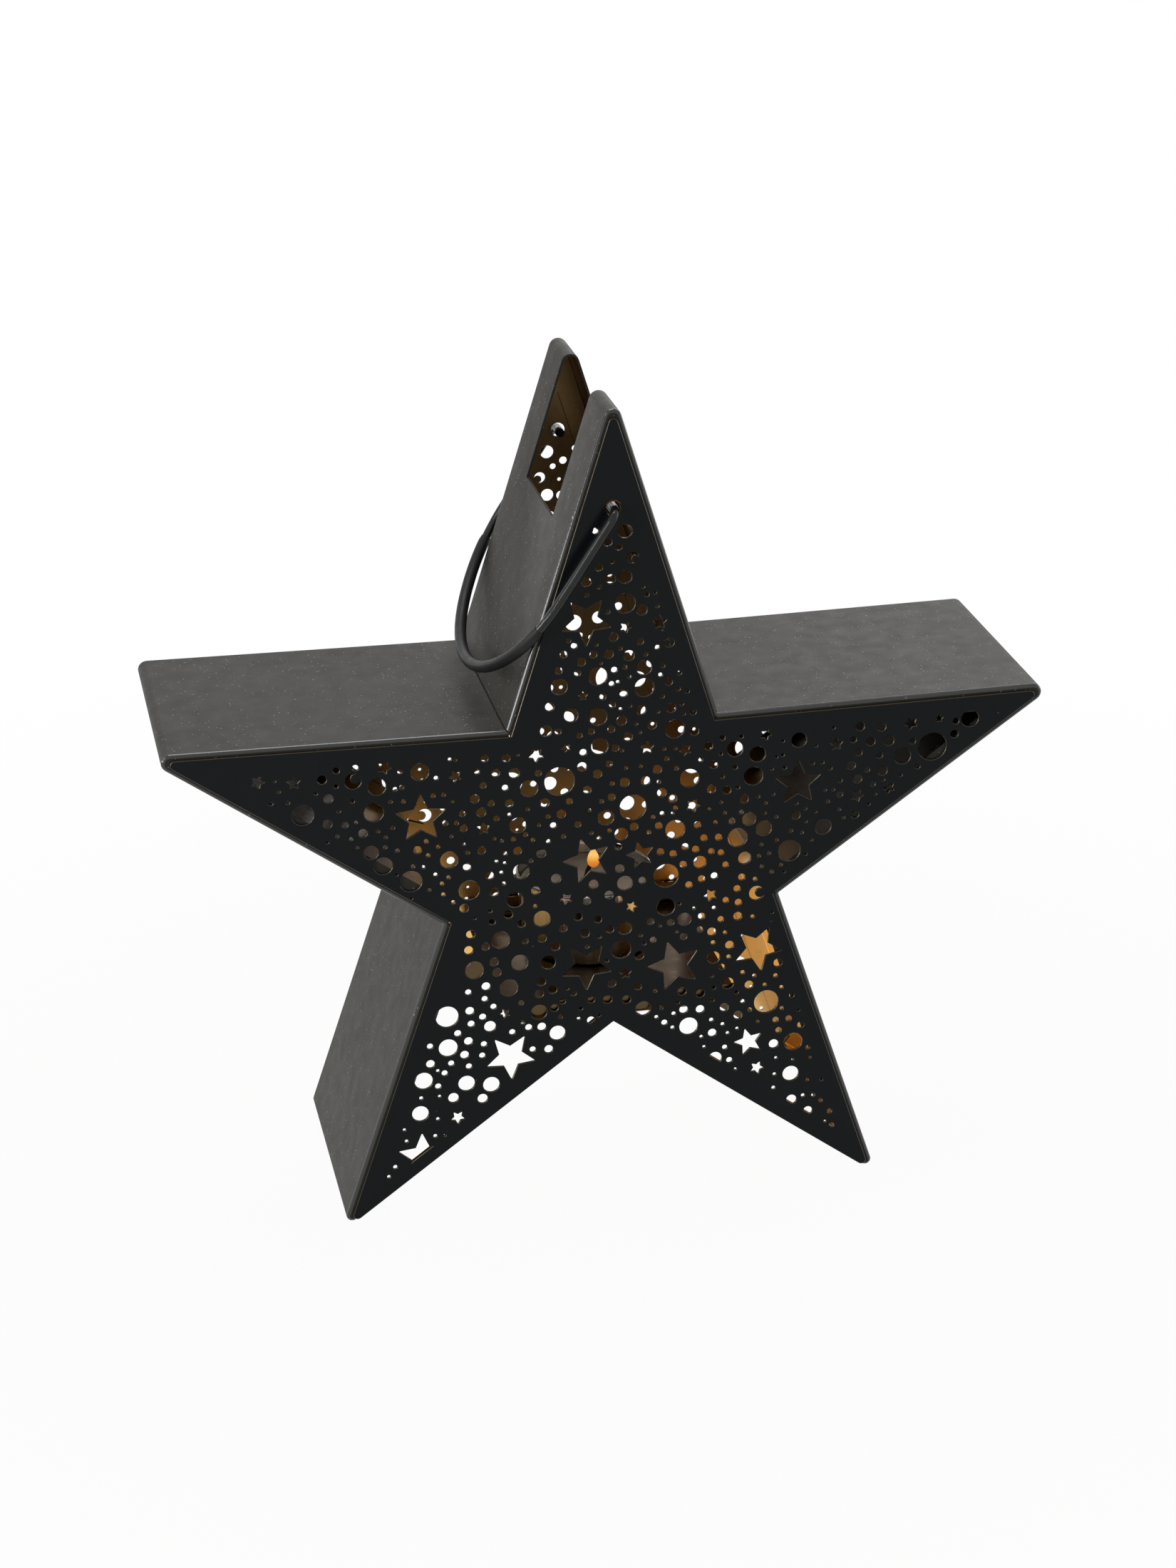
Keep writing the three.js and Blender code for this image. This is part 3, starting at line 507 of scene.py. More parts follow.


# Piercing of both panels, listed one by one: star holes, moons, round holes and dots

piercing = {
    "largeStars": [  # x, z, radius, turn
        (-7, 66, 6.7, 180), (-50, 16.2, 6.8, 0), (49, 17, 6.4, 0), (-7, 0.3, 6.5, 15),
        (-7.2, -30, 7, 180), (16.4, -32.2, 7.4, 15), (39, -29.7, 6.7, 45), (-27.7, -54.3, 6.9, 182),
        (-51.7, -81.2, 6.8, 1), (7.1, 0.6, 3.8, 12), (36.9, -57.1, 4.1, 15)],
    "smallStars": [
        (-42.1, -70.8, 2, 180), (39.4, -65.2, 2, 48), (-20.1, 30.9, 2.1, 33), (8.8, 30.4, 1.9, 0),
        (18.8, 28.9, 1.7, 24), (21, 13.2, 2, 48), (-34, 12, 1.8, 0), (-12.6, -10, 1.7, 24),
        (4.8, -14, 1.6, 48), (3.2, -33.1, 1.7, 0), (25.9, -12.8, 1.9, 24), (-91, 30, 1.9, 48),
        (-82, 29, 1.9, 0), (-41, 27, 1.7, 24), (-59, 31, 1.9, 48), (59, 27, 1.9, 0), (79, 31, 1.9, 24),
        (65, 12, 1.9, 48), (-7.9, 46, 1.3, 0), (-12.4, 32.3, 1.3, 24), (3.1, 63.6, 1.6, 48),
        (11.9, 64.3, 2, 0), (-29.1, -41.4, 1.4, 24), (40.1, 31.3, 1.6, 48), (86.6, 31.7, 1.1, 0),
        (73.6, 13.4, 1.7, 24)],
    "moons": [  # x, z, radius, turn of the open side
        (-67, 28, 2.1, 45), (38.4, -13.4, 2, 0), (5, 82, 1.5, -40), (14.4, 58.7, 1.3, 180)],
    "rounds": [  # x, z, radius
        (-14.1, 23.2, 3.9), (5.1, 14.2, 3.5), (16.3, 6.9, 2.6), (20, 21, 2.5), (8, 47, 2.5),
        (16, 35, 2.5), (-3.6, 31.9, 2.2), (-22, 22, 2.3), (-2, 12, 2.1), (2, 7, 1.7), (-25, 12, 2.1),
        (14, -6, 3.3), (14, -15, 2.4), (33, 3, 2.6), (47, -2, 3), (37, 20, 2.5), (38, 26, 2.1),
        (32, 28, 2.1), (49, 29, 2), (40, 5, 2.1), (36, 8, 1.8), (-38, -5, 2.7), (-26, -9, 2.1),
        (-19, -15, 2.2), (-30, -20, 2.4), (-25, -27, 2.2), (-17.4, -27.8, 1.9), (-37, -28, 2.4),
        (-28, -34, 2.4), (2, -26, 2.6), (3, -20, 1.8), (3, -7, 2), (19, -19, 1.8), (-24.3, -1, 2.1),
        (41.6, -45.6, 3.3), (20.4, -50.6, 2.5), (-15.1, -48.7, 2.1), (49.3, -58.4, 2.5),
        (-33.1, -44.8, 1.55), (-20, -42, 2.1), (8, -44, 2), (23, -3, 1.7), (35, -3, 1.7),
        (27, -31, 1.7), (31, -39, 1.6), (-44.4, -40.8, 3), (-44.3, -49.9, 2.5), (-51, -58.9, 2.4),
        (-39.6, -60.9, 2.2), (-33, -62, 2.2), (-52.1, -68.5, 2.2), (-43.2, -64.8, 1.4),
        (-35.4, -65.9, 1.35), (48.8, -68, 2.2), (43.9, -58.5, 1.3), (-50, 29, 2.3), (-61, 26, 2.3),
        (-62, 19, 2.5), (-80, 20, 2.8), (-60, 4, 2.4), (-63, 8, 1.9), (-53, -1, 2.9), (-43, 4, 2.3),
        (85, 24, 3.8), (77, 22, 2.2), (56, 4, 2.2), (95, 31, 2.3), (3, 70, 2.6), (-4, 51, 2.4),
        (7.9, 52.4, 2), (-14, 49, 2.1), (-4, 40, 2.3), (-11, 41, 1.8), (3, 77, 1.7), (3, 89, 1.8),
        (7.3, 67.9, 1.35), (4, 56, 1.4), (-17.5, 37.3, 1.5), (2.1, 38.5, 1.3), (-25.8, 26.5, 1.35),
        (-15.2, -3.9, 1.3), (71.7, 18.4, 1.3), (73.2, 26.7, 1.35), (27.8, -61, 1.8), (49.2, -76, 1.4)],
    "dots": {  # radius of the punch, and where it struck
        1.22: [
            (7.2, 40.9), (15, 40.8), (-8.2, 26.7), (2.9, 21.4), (8.4, 21.3), (-34.5, 16.5), (-18, 17.6),
            (12.7, 17.6), (-19, 3.6), (-5.3, -6.5), (6.9, -28.3), (-1.6, -40.2), (-6.9, 76.4),
            (-0.7, 76.7), (-73.4, 23.9), (53.9, -79.9)],
        1.15: [
            (10.1, 36.6), (3.8, 33.9), (21.2, 33.9), (-4.2, 24.4), (11.5, 24.2), (-36.1, 20.4),
            (15.6, 15.7), (25.8, 17.4), (34.6, 13.8), (-13.7, 14.1), (1.6, -2.7), (-31.5, -6.2),
            (-20.6, -6.8), (-39.4, -10), (-27.8, -12.9), (-37.8, -17.6), (-38.4, -22.1), (-31.8, -26.1),
            (-31.1, -29.2), (-19, -20.6), (-15.5, -23.4), (-7.6, -20.4), (-1.2, -10), (26.4, -23.4),
            (33.4, -19.6), (31.3, -27.8), (36.8, -40.1), (30.1, -46.1), (33.9, -48.8), (23.5, -45.9),
            (19, -45.5), (26.9, -53.3), (23.5, -41.2), (18.5, -40), (3.5, -40.8), (-0.5, -35.6),
            (-16.3, -35.8), (-19.3, -33.2), (-19.9, -36.6), (-19.3, -46.4), (-38.4, -39.7),
            (-38.9, -48.5), (-40, -52.4), (-17.5, -53.2), (-34, -33), (0, 61.3), (-1.2, 56.8),
            (-16.5, 43.8), (-74.8, 29.1), (-73.8, 17), (-64.9, 13.6), (65.3, 31.3), (71.1, 30.7),
            (68.3, 26.9), (63.2, 20.7), (65, 16.7), (48.6, 7.9), (-49.1, -54.1), (44.6, -34.4)],
        1.05: [
            (-27.9, 30.8), (25, 29.4), (-30.6, 27), (26.4, 24.1), (-27.2, 18.3), (-6.9, 20.2),
            (30, 16.7), (5.4, 8.8), (-34.6, 5.9), (-25.2, 4.9), (-38.4, 1.6), (-32.5, -1.4),
            (-24.4, -15.9), (-34, -21.5), (-13.4, -18.3), (-9.4, -15.5), (-7.1, -11.1), (-1, -19.9),
            (-15.9, -41.2), (-6.1, -45.9), (-1.4, 86.4), (-8.3, 55.2), (2.6, 45.9), (-51.1, 7.6),
            (90.9, 27), (64.6, 6.6)],
        0.93: [
            (-0.6, 36.4), (-33.4, 31.2), (-7.9, 30.6), (0.5, 31.1), (-0.5, 17.6), (-39.1, 12.5),
            (11.9, 8.4), (22.2, 7.7), (24, 3.8), (27.9, 3.6), (19, 1.8), (21.8, 0.8), (15.8, 0.1),
            (12.4, 1), (18.5, -3.2), (1.2, 3.5), (7.6, -6.7), (26.9, -7.3), (23.5, -7.8), (-4.1, -16.8),
            (1.4, -11.5), (9.9, -18.7), (15.3, -19.5), (18.8, -24), (23.6, -18.6), (33.1, -11.6),
            (34.3, -8.4), (33.5, -15.6), (20.1, -9.2), (6.6, -37.4), (-6, -39.9), (-22.8, -46.2),
            (-35, -41.8), (-38.1, -43.5), (-3.7, 79.9), (-12.8, 57.6), (-5.2, 57), (-14.1, 53.4),
            (14.4, 48), (65.1, 24.1), (-41.7, -45.9), (51.3, -53.6)],
        0.82: [
            (-14.4, 36.9), (-5.8, 36.2), (20.8, 39.2), (-19.6, 26), (-33.9, 23.9), (-28.2, 22.7),
            (-31.9, 18.8), (-39.4, 16.6), (-11.6, 17.5), (-15.8, 11.1), (-9.4, 10.8), (-1.1, 26.9),
            (31.4, 7.9), (26, -0.2), (28.6, -0.8), (29.9, -4.4), (-32.1, -14.6), (-23.5, -20.9),
            (10.6, -24.1), (23.2, -22.4), (28.8, -20), (30.1, -14.6), (29.3, -34), (13.8, -48.8),
            (-10.8, -37.4), (-13.7, -39.5), (-27.2, -47.1), (-38.7, -34.2), (-34.4, -36.6),
            (-32.1, -39.1), (-34.8, -49.8), (-35.3, -53.1), (-21.8, -52.8), (-4.6, 89.6), (1.4, 84.9),
            (-10.1, 59.7), (-9.3, 52.3), (0.2, 52.4), (6.9, 59.5), (-2.8, 45.4), (-0.3, 43),
            (-71.1, 31.3), (-66.3, 31.6), (-69.4, 16.3), (63.6, 27.8), (79.6, 26), (91.2, 30.6),
            (70.8, 22.8), (60.3, 12.8), (-49.1, -48.9), (-43.6, -54.5), (-38.9, -55.9), (-45.4, -57.2),
            (-47.2, -60.9), (44.3, -51.3), (47.9, -51.3), (45.2, -54.5), (31.7, -62)],
        0.7: [
            (-8.8, 35.4), (28.6, 31.4), (-35.4, 27.8), (-30.6, 14.5), (-24.8, -38.7), (11.2, 57.7),
            (67.5, 19.1), (69.2, 14.9), (81.2, 18.7), (-43.8, 14.4), (48.6, -44.4), (30.4, -58),
            (60, -80.8), (60.7, -85.2), (-0.5, 48.7)],
        0.58: [
            (22.9, 25.8), (13.9, 27), (-0.4, 21.4), (16.5, 24.1), (32.1, 22.9), (-3.2, 16.7),
            (-17.2, 13.8), (12.8, 11.8), (16.3, 13), (33.9, 10.2), (-26.3, 8.3), (-23.1, 9.3),
            (-17.2, 6.8), (-28.5, 4.5), (-13.2, 7.8), (-3.9, 6.5), (9.3, 6.8), (-21.8, 1.8),
            (37.9, -9.3), (-7.1, -24.2), (26.8, -26.6), (31.1, -31.2), (35, -36.2), (35.1, -44.8),
            (37.1, -47.5), (16.3, -46.4), (26.6, -49.4), (-3.7, 74.9), (-6.9, 73), (8.6, 71.9),
            (-1.5, 68.1), (2.9, 53), (12.2, 50.1), (17.1, 50.2), (16.8, 45.9), (19.2, 45.1),
            (-87.9, 23.9), (-56.4, 24.9), (-54.7, 25.3), (-55.1, 29.5), (-45.9, 27), (-57.3, 14.5),
            (-48.8, 9.8), (-46.8, 22.3), (-40.9, 14.2), (60.3, 16.7), (-59.2, -83.7), (53.4, -60.6),
            (44, -38.1)],
        0.52: [
            (33.6, 31.3), (28.7, 20.6), (11.9, 20.7), (32.9, 17.2), (10.4, 11), (-38.2, 5.7),
            (-21.2, 7.6), (-5.9, 8.1), (-1.1, 8.3), (-28.9, -4), (-32.6, -11.4), (-20.8, -11.2),
            (-1.8, -28.9), (7.2, -22.4), (26.9, -16.5), (30, -24), (37.4, -20.1), (38.2, -37.5),
            (33.4, -41.9), (11.6, -46.9), (16, -50.5), (29.7, -51), (27.1, -39.9), (26.8, -43.5),
            (12.9, -44.3), (11.2, -39.1), (17.4, -43.1), (-14.3, -44), (-8.8, -42.1), (-3.9, -44.8),
            (-24.4, -44.6), (-0.3, 81.2), (11.2, 68.7), (-11.5, 61.2), (1.7, 58.1), (8.3, 56),
            (12.8, 52.5), (12.7, 44.2), (4.1, 50.3), (-71.3, 27), (-83.6, 23.8), (-67.3, 22.6),
            (-70.9, 20.3), (-59.4, 9.2), (-57.7, 21.7), (-54.4, 21.4), (-56.3, 8), (-48.4, 5.9),
            (-52.4, 3.2), (-44.1, 22.3), (-46.6, 0.3), (-43.3, -0.8), (-45, -2.4), (-44.7, -5.5),
            (-42.2, -8), (57.1, 11.1), (57.5, 20.4), (47.3, 3.7), (42.3, -7.6), (-51.8, -63.9),
            (-48.3, -75.6), (41.1, -40.5), (45.7, -41.7), (45.9, -48), (44.1, -71.8), (52.4, -75.1),
            (55.3, -75.3), (57.4, -77.2)],
        0.47: [
            (13.2, 29.8), (28.2, 27), (3.2, 25.4), (-22.5, 16.3), (-27.2, 15.2), (-19.6, 11.6), (27, 8),
            (-30.7, 2.5), (-29.5, -0.8), (-3.8, -21.8), (8.2, -25), (-12.4, -35.9), (-9.4, -45),
            (1.1, 49.1), (17.8, 41.7), (-85.8, 27), (-71.5, 13.4), (-68, 12.3), (-61.1, 13.8),
            (-59.2, 12), (-49.7, 2.7), (-45.8, 8), (-42.3, 31.8), (76.7, 16.7), (72, 15.9),
            (52.8, 22.2), (45.3, 21.6), (38.3, 14.2), (43.3, 8), (50.3, 2.9), (43.5, 1.4), (39.4, 0.5),
            (41.5, -2.2), (38.8, -2.7), (51.4, -3.4), (39.6, -5.8), (44.8, -5.8), (-47.2, -56.3),
            (-47.5, -70.6), (-56, -76.3), (-61, -86.4), (31.1, -53.8), (23.9, -54.1), (44.3, -67.7),
            (57.4, -70.8)],
        0.42: [
            (11.6, 40.1), (5.9, 37.3), (6.9, 34.9), (7.1, 25.5), (28.4, 13.5), (-6.3, 14.5),
            (15.6, 11.6), (29.5, 10.4), (-31.2, 8.9), (-29.3, 8.1), (-28.6, 1.8), (12.4, -20.2),
            (16.9, -22.4), (21.5, -16.1), (17.6, -14.4), (33.7, -52.7), (26.6, -36.4), (7.6, 74.1),
            (10.6, 72.3), (-4.4, 59.6), (-3.3, 54.5), (1.8, 41.7), (4.3, 42.3), (-76.5, 25.5),
            (-66.6, 16.8), (-42.3, 10.6), (-39.1, 8.1), (-48.3, -3.8), (-40.9, 31.6), (58.2, 31.6),
            (53.6, 27), (56.3, 14.4), (58.5, 14.3), (55.4, 22.2), (41.9, 21.6), (44.7, 25.2),
            (42.4, 14.5), (40.4, 12.2), (48.7, 11.3), (51.1, 9.6), (51.3, 5.9), (52.9, 0.5),
            (60.3, 8.5), (61.5, 6.1), (68.2, 9.3), (-46.9, -63.9), (-56.5, -72.8), (39.3, -51.2),
            (24.7, -57.2), (33.4, -64.9), (44.6, -62.8), (53.5, -70.4), (2.2, 30.3), (16.2, 29.6)],
        0.35: [
            (18.4, 38.9), (-24.8, 31.5), (25.3, 11.9), (-36.6, -13.1), (-86.7, 29.9), (-74, 11.9),
            (-66.5, 9.8), (-41.8, 20.2), (-53, -5.8), (-56.6, 1.2), (70, 12), (43.1, 24.8), (53.9, 8.4),
            (40.3, 9.3), (45.7, -8), (44.7, 29.1), (-45.7, -75.7), (50.6, -49.1), (49.3, -63.8),
            (54.1, -63.7), (58.8, -83.8), (45.1, -74.8), (42.7, -19.4)],
    },
    "largeWaist": 0.46, "smallWaist": 0.5, "largeSoft": 0.025, "smallSoft": 0.07,
    "moonBite": 0.66, "moonShift": 0.46,  # disc left in a moon: its radius and place, as shares
}
panelForm = {
    "inset": 1.5,        # panel edge inside the band's outer face
    "tipRound": 1.2, "notchRound": 0.3,
    "holeRim": 0.14,     # bevelled edge of every hole, half as wide on the inside
    "sharp": 25,         # degrees, above which an edge is shaded sharp
    "hemLeft": 3.8, "hemRight": 5.1,
    "hemTipGap": 11.0,   # hem end to the sharp corner of a foot
    "hemTaper": 8.0,
    "hemStart": 0.05,    # a hem begins this far past and above the corner of the notch
    "hingeHole": 1.9,
}
panelEdges = [0.0 if k in openEdges else panelForm["inset"] for k in range(10)]


def circleLoop(x, z, radius):
    sides = max(12, min(36, int(10 + 8 * radius)))
    return [Vector((x + radius * math.cos(2 * math.pi * k / sides),
                    z + radius * math.sin(2 * math.pi * k / sides))) for k in range(sides)]


def starLoop(x, z, radius, turn, waist, soft):
    corners = [p + Vector((x, z)) for p in starCorners(radius, waist * radius, turn)]
    return distinct(roundCorners(corners, [soft * radius, 0] * 5, 3))


def moonLoop(x, z, radius, turn):
    # round the outside from tip to tip, and back round the disc that was left
    bite, shift = piercing["moonBite"], piercing["moonShift"]
    tip = math.acos((1 + shift * shift - bite * bite) / (2 * shift))
    inner = math.acos((math.cos(tip) - shift) / bite)
    places = []
    for k in range(19):
        angle = tip + (2 * math.pi - 2 * tip) * k / 18
        places.append(Vector((math.cos(angle), math.sin(angle))))
    for k in range(1, 12):
        angle = 2 * math.pi - inner - (2 * math.pi - 2 * inner) * k / 12
        places.append(Vector((shift + bite * math.cos(angle), bite * math.sin(angle))))
    spin = Matrix.Rotation(math.radians(turn), 2)
    return [spin @ place * radius + Vector((x, z)) for place in places]


def hemLines(side):
    # the hem's inner edge and its slanted end, both with the open panel on their left
    along = (leftFoot - lowNotch).normalized()
    inward = leftNormal(leftFoot, lowNotch)
    end = (leftFoot - lowNotch).length - panelForm["hemTipGap"]
    inner = lowNotch + inward * panelForm["hemLeft" if side > 0 else "hemRight"]
    bend = inner + along * (end - panelForm["hemTaper"])
    tip = lowNotch + along * end
    return [Vector((side * p.x, p.y)) for p in (inner, bend, tip)]


def clipAtHem(loop):
    # a hole stops where the hem lies behind it
    middle = sum(loop, Vector((0, 0))) / len(loop)
    inner, bend, tip = hemLines(1 if middle.x < 0 else -1)
    past = (middle - bend).dot((bend - inner).normalized()) > 0
    start, end = (bend, tip) if past else (inner, bend)
    if middle.x < 0:
        start, end = end, start
    return keepLeftOf(loop, start, end)


def pierceLoops():
    form = piercing
    loops = [starLoop(*star, form["largeWaist"], form["largeSoft"]) for star in form["largeStars"]]
    loops += [starLoop(*star, form["smallWaist"], form["smallSoft"]) for star in form["smallStars"]]
    loops += [moonLoop(*moon) for moon in form["moons"]]
    loops += [circleLoop(*hole) for hole in form["rounds"]]
    loops += [circleLoop(x, z, radius) for radius, places in form["dots"].items() for x, z in places]
    clipped = [distinct(clipAtHem(loop)) for loop in loops]
    return [loop for loop in clipped if len(loop) > 2]


def insideLoop(place, loop):
    inside = False
    for a, b in zip(loop, loop[1:] + loop[:1]):
        if (a.y > place.y) != (b.y > place.y):
            if place.x < a.x + (b.x - a.x) * (place.y - a.y) / (b.y - a.y):
                inside = not inside
    return inside


def sheetFace(loops):
    # triangles between an outline and its holes
    points, edges, owner = [], [], []
    for number, loop in enumerate(loops):
        first = len(points)
        count = len(loop)
        points += loop
        owner += [number] * count
        edges += [(first + k, first + (k + 1) % count) for k in range(count)]
    places, _, faces, origins, _, _ = delaunay_2d_cdt(points, edges, [], 1, 1e-6)
    for place, origin in zip(places, origins):
        if len(origin) != 1:
            print("panel loops touch at", place)
    source = [origin[0] for origin in origins]
    kept = []
    for face in faces:
        corners = [source[i] for i in face]
        owners = {owner[i] for i in corners}
        middle = sum((points[i] for i in corners), Vector((0, 0))) / len(corners)
        if len(owners) > 1 or owners == {0} or not insideLoop(middle, loops[owners.pop()]):
            kept.append(corners)
    return kept


def plate(name, loops, hingeLoop):
    # outline runs anticlockwise and holes clockwise, so the metal is always on the left
    rim = panelForm["holeRim"]
    inside = starForm["sheet"] - faceY
    levels = [(rim, -faceY), (0.0, rim - faceY), (0.0, inside - 0.5 * rim), (0.5 * rim, inside)]
    points, faces, slots = [], [], []
    rings = []
    for shift, y in levels:
        ring = [shiftLeft(loop, [shift] * len(loop)) for loop in loops]
        rings.append(len(points))
        points += [(p.x, y, p.y) for loop in ring for p in loop]
    flat = sheetFace([shiftLeft(loop, [rim] * len(loop)) for loop in loops])
    for face in flat:
        faces.append([rings[0] + i for i in face])
        slots.append(frontSlot)
        faces.append([rings[3] + i for i in reversed(face)])
        slots.append(insideSlot)
    start = 0
    for number, loop in enumerate(loops):
        count = len(loop)
        for level in range(3):
            a, b = rings[level] + start, rings[level + 1] + start
            for k in range(count):
                n = (k + 1) % count
                faces.append([a + k, b + k, b + n, a + n])
                if number == hingeLoop:
                    slots.append(hingeSlot)
                else:
                    slots.append(insideSlot if level == 2 else rimSlot)
        start += count
    return makePiece(name, points, faces, slots, panelFinishes, panelForm["sharp"])


def hemStrip(side):
    inner, bend, tip = hemLines(side)
    low = Vector((side, 1)) * panelForm["hemStart"]
    outline = [lowNotch + low, tip, bend, inner + low * 0.2]
    if side < 0:
        outline.reverse()
    back = bandY - starForm["sheet"]
    strip = prism("hem", outline, -(faceY - starForm["sheet"]), -back)
    for finish in panelFinishes:
        strip.data.materials.append(finish)
    strip.data.polygons.foreach_set("material_index", [hemSlot] * len(strip.data.polygons))
    return strip


def buildPanels():
    edge = [panelForm["notchRound"] if k % 2 else panelForm["tipRound"] for k in range(10)]
    outline = distinct(roundCorners(shiftLeft(starOutline, panelEdges), edge, 5))
    hingeLoop = circleLoop(0, hingeLevel, panelForm["hingeHole"])
    holes = [loop[::-1] for loop in pierceLoops() + [hingeLoop]]
    front = plate("front_pierced_panel", [outline] + holes, len(holes))
    front = joinPieces("front_pierced_panel", [front, hemStrip(1), hemStrip(-1)])
    smoothPiece(front, panelForm["sharp"])
    back = bpy.data.objects.new("back_pierced_panel", front.data.copy())
    scene.collection.objects.link(back)
    for vertex in back.data.vertices:
        vertex.co = (-vertex.co.x, -vertex.co.y, vertex.co.z)
    print("panels pierced:", len(holes), "holes,", len(front.data.polygons), "faces each")
    for piece, node in ((front, "front_panel"), (back, "back_panel")):
        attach(piece, "lantern_body")
        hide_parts(node)


buildPanels()


# Side bands

bandForm = {
    "flange": 6.1,          # flange turned in behind a panel
    "bend": 0.9,            # outer radius between wall and flange
    "bendSteps": 5,
    "bendHold": 0.25,       # narrow strip beside a bend, which keeps the wall looking flat
    "pointRound": 2.4, "footRound": 1.6, "notchRound": 0.5,
    "cornerSteps": 8,
    "footReturn": 5.0,      # band past the bend of a foot
    "seamGap": 0.35, "seamTurn": 24.0,  # open seam at the upper left notch, cut on the slant
    "seamStart": 0.9,       # how far inside the notch the cut begins, as a share of its reach
    "chimneyDrop": 38.0, "chimneyDepth": 34.0,
    "edgeRound": 0.1,
}


def bandRing(inset):
    corners = shiftLeft(starOutline, [inset] * 10)
    radii = []
    for k in range(10):
        if k % 2:
            radii.append(bandForm["notchRound"] + inset)
        else:
            outer = bandForm["footRound"] if k in footCorners else bandForm["pointRound"]
            radii.append(max(outer - inset, 0))
    return roundCorners(corners, radii, bandForm["cornerSteps"])


def bandSection():
    # closed section of the strip: inset from the outer face, place across, slot
    form = bandForm
    sheet, bend, steps = starForm["sheet"], form["bend"], form["bendSteps"]
    hold = form["bendHold"]
    outer = [(form["flange"], -bandY), (bend + hold, -bandY)]
    inner = [(form["flange"], sheet - bandY)]
    for k in range(steps + 1):
        angle = math.pi / 2 * k / steps
        outer.append((bend - bend * math.sin(angle), bend - bandY - bend * math.cos(angle)))
        small = bend - sheet
        inner.append((bend - small * math.sin(angle), bend - bandY - small * math.cos(angle)))
    outer.append((0, bend + hold - bandY))
    outer += [(w, -y) for w, y in reversed(outer)]
    inner += [(w, -y) for w, y in reversed(inner)]
    section = outer + inner[::-1]
    slots = [0] * len(outer) + [1] * (len(inner) - 1) + [0]
    for k in range(2, 2 + steps):
        slots[k] = slots[len(outer) - 2 - k] = 2
    return section, slots


def wholeBand():
    section, sectionSlots = bandSection()
    points, faces, slots = [], [], []
    for inset, y in section:
        points += [(p.x, y, p.y) for p in bandRing(inset)]
    count = len(points) // len(section)
    for j in range(len(section)):
        a, b = j * count, (j + 1) % len(section) * count
        for k in range(count):
            n = (k + 1) % count
            faces.append([a + k, b + k, b + n, a + n])
            slots.append(sectionSlots[j])
    band = makePiece("band", points, faces, slots, [bandPaint, insidePaint, bendPaint])
    closeMesh(band)
    return band


def notchRelief(k):
    # the wedge where the flanges of two neighbouring walls would meet
    apex = shiftLeft(starOutline, [bandForm["bend"]] * 10)[k]
    reach = 3 * bandForm["flange"]
    before = leftNormal(starOutline[k - 1], starOutline[k])
    after = leftNormal(starOutline[k], starOutline[(k + 1) % 10])
    return [apex, apex + before * reach, apex + after * reach]


def footMouth():
    # everything below the open bottom, between the band's two ends
    axis = leftFoot.normalized()
    half = math.acos(axis.dot((leftFoot - lowNotch).normalized()))
    centreReach = starForm["pointReach"] - bandForm["footRound"] / math.sin(half)
    start = centreReach * math.cos(half) - bandForm["footReturn"]
    onAxis = axis * start / math.cos(half)
    beyond = onAxis - leftNormal(leftFoot, lowNotch) * 3 * bandForm["flange"]
    below = Vector((0, -4 * starForm["pointReach"]))
    mirrored = [Vector((-p.x, p.y)) for p in (beyond, onAxis)]
    return [Vector((0, 0)), onAxis, beyond, below] + mirrored


def seamSide(side):
    # everything on one side of the slanted seam
    far = 4 * starForm["pointReach"]
    seam = Matrix.Rotation(math.radians(bandForm["seamTurn"]), 2) @ seamNotch.normalized()
    start = seamNotch - seam * seamNotch.length * bandForm["seamStart"]
    start += Vector((-seam.y, seam.x)) * bandForm["seamGap"] / 2 * side
    return [start, start + seam * far, Vector((-side * far, far)), Vector((-side * far, -far)),
            Vector((start.x, -far))]


def buildBands():
    wide = 2 * bandY
    whole = wholeBand()
    for k in closedNotches:
        cutPiece(whole, prism("relief", notchRelief(k), -wide, wide))
    cutPiece(whole, prism("mouth", footMouth(), -wide, wide))
    halfDepth = bandForm["chimneyDepth"] / 2
    top = starForm["pointReach"]
    low, far = top - bandForm["chimneyDrop"], 2 * top
    window = [Vector((-top, low)), Vector((top, low)), Vector((top, far)), Vector((-top, far))]
    cutPiece(whole, prism("chimney", window, -halfDepth, halfDepth))
    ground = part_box("left_side_band")[0].z / mm - centreZ
    slab = [Vector((-far, -far)), Vector((far, -far)), Vector((far, ground)), Vector((-far, ground))]
    cutPiece(whole, prism("ground", slab, -wide, wide))
    halves = ((1, "left_bent_band", "left_side_band"), (-1, "right_bent_band", "right_side_band"))
    for side, name, node in halves:
        band = bpy.data.objects.new(name, whole.data.copy())
        scene.collection.objects.link(band)
        cutPiece(band, prism("seam", seamSide(side), -wide, wide), "INTERSECT")
        roundEdges(band, bandForm["edgeRound"])
        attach(band, "lantern_body")
        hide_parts(node)
        print(name, len(band.data.polygons), "faces")
    bpy.data.objects.remove(whole)


buildBands()


# Candle tray: a channel bent up at the front and back

trayForm = {"bend": 1.4, "bendSteps": 5, "edgeRound": 0.12}


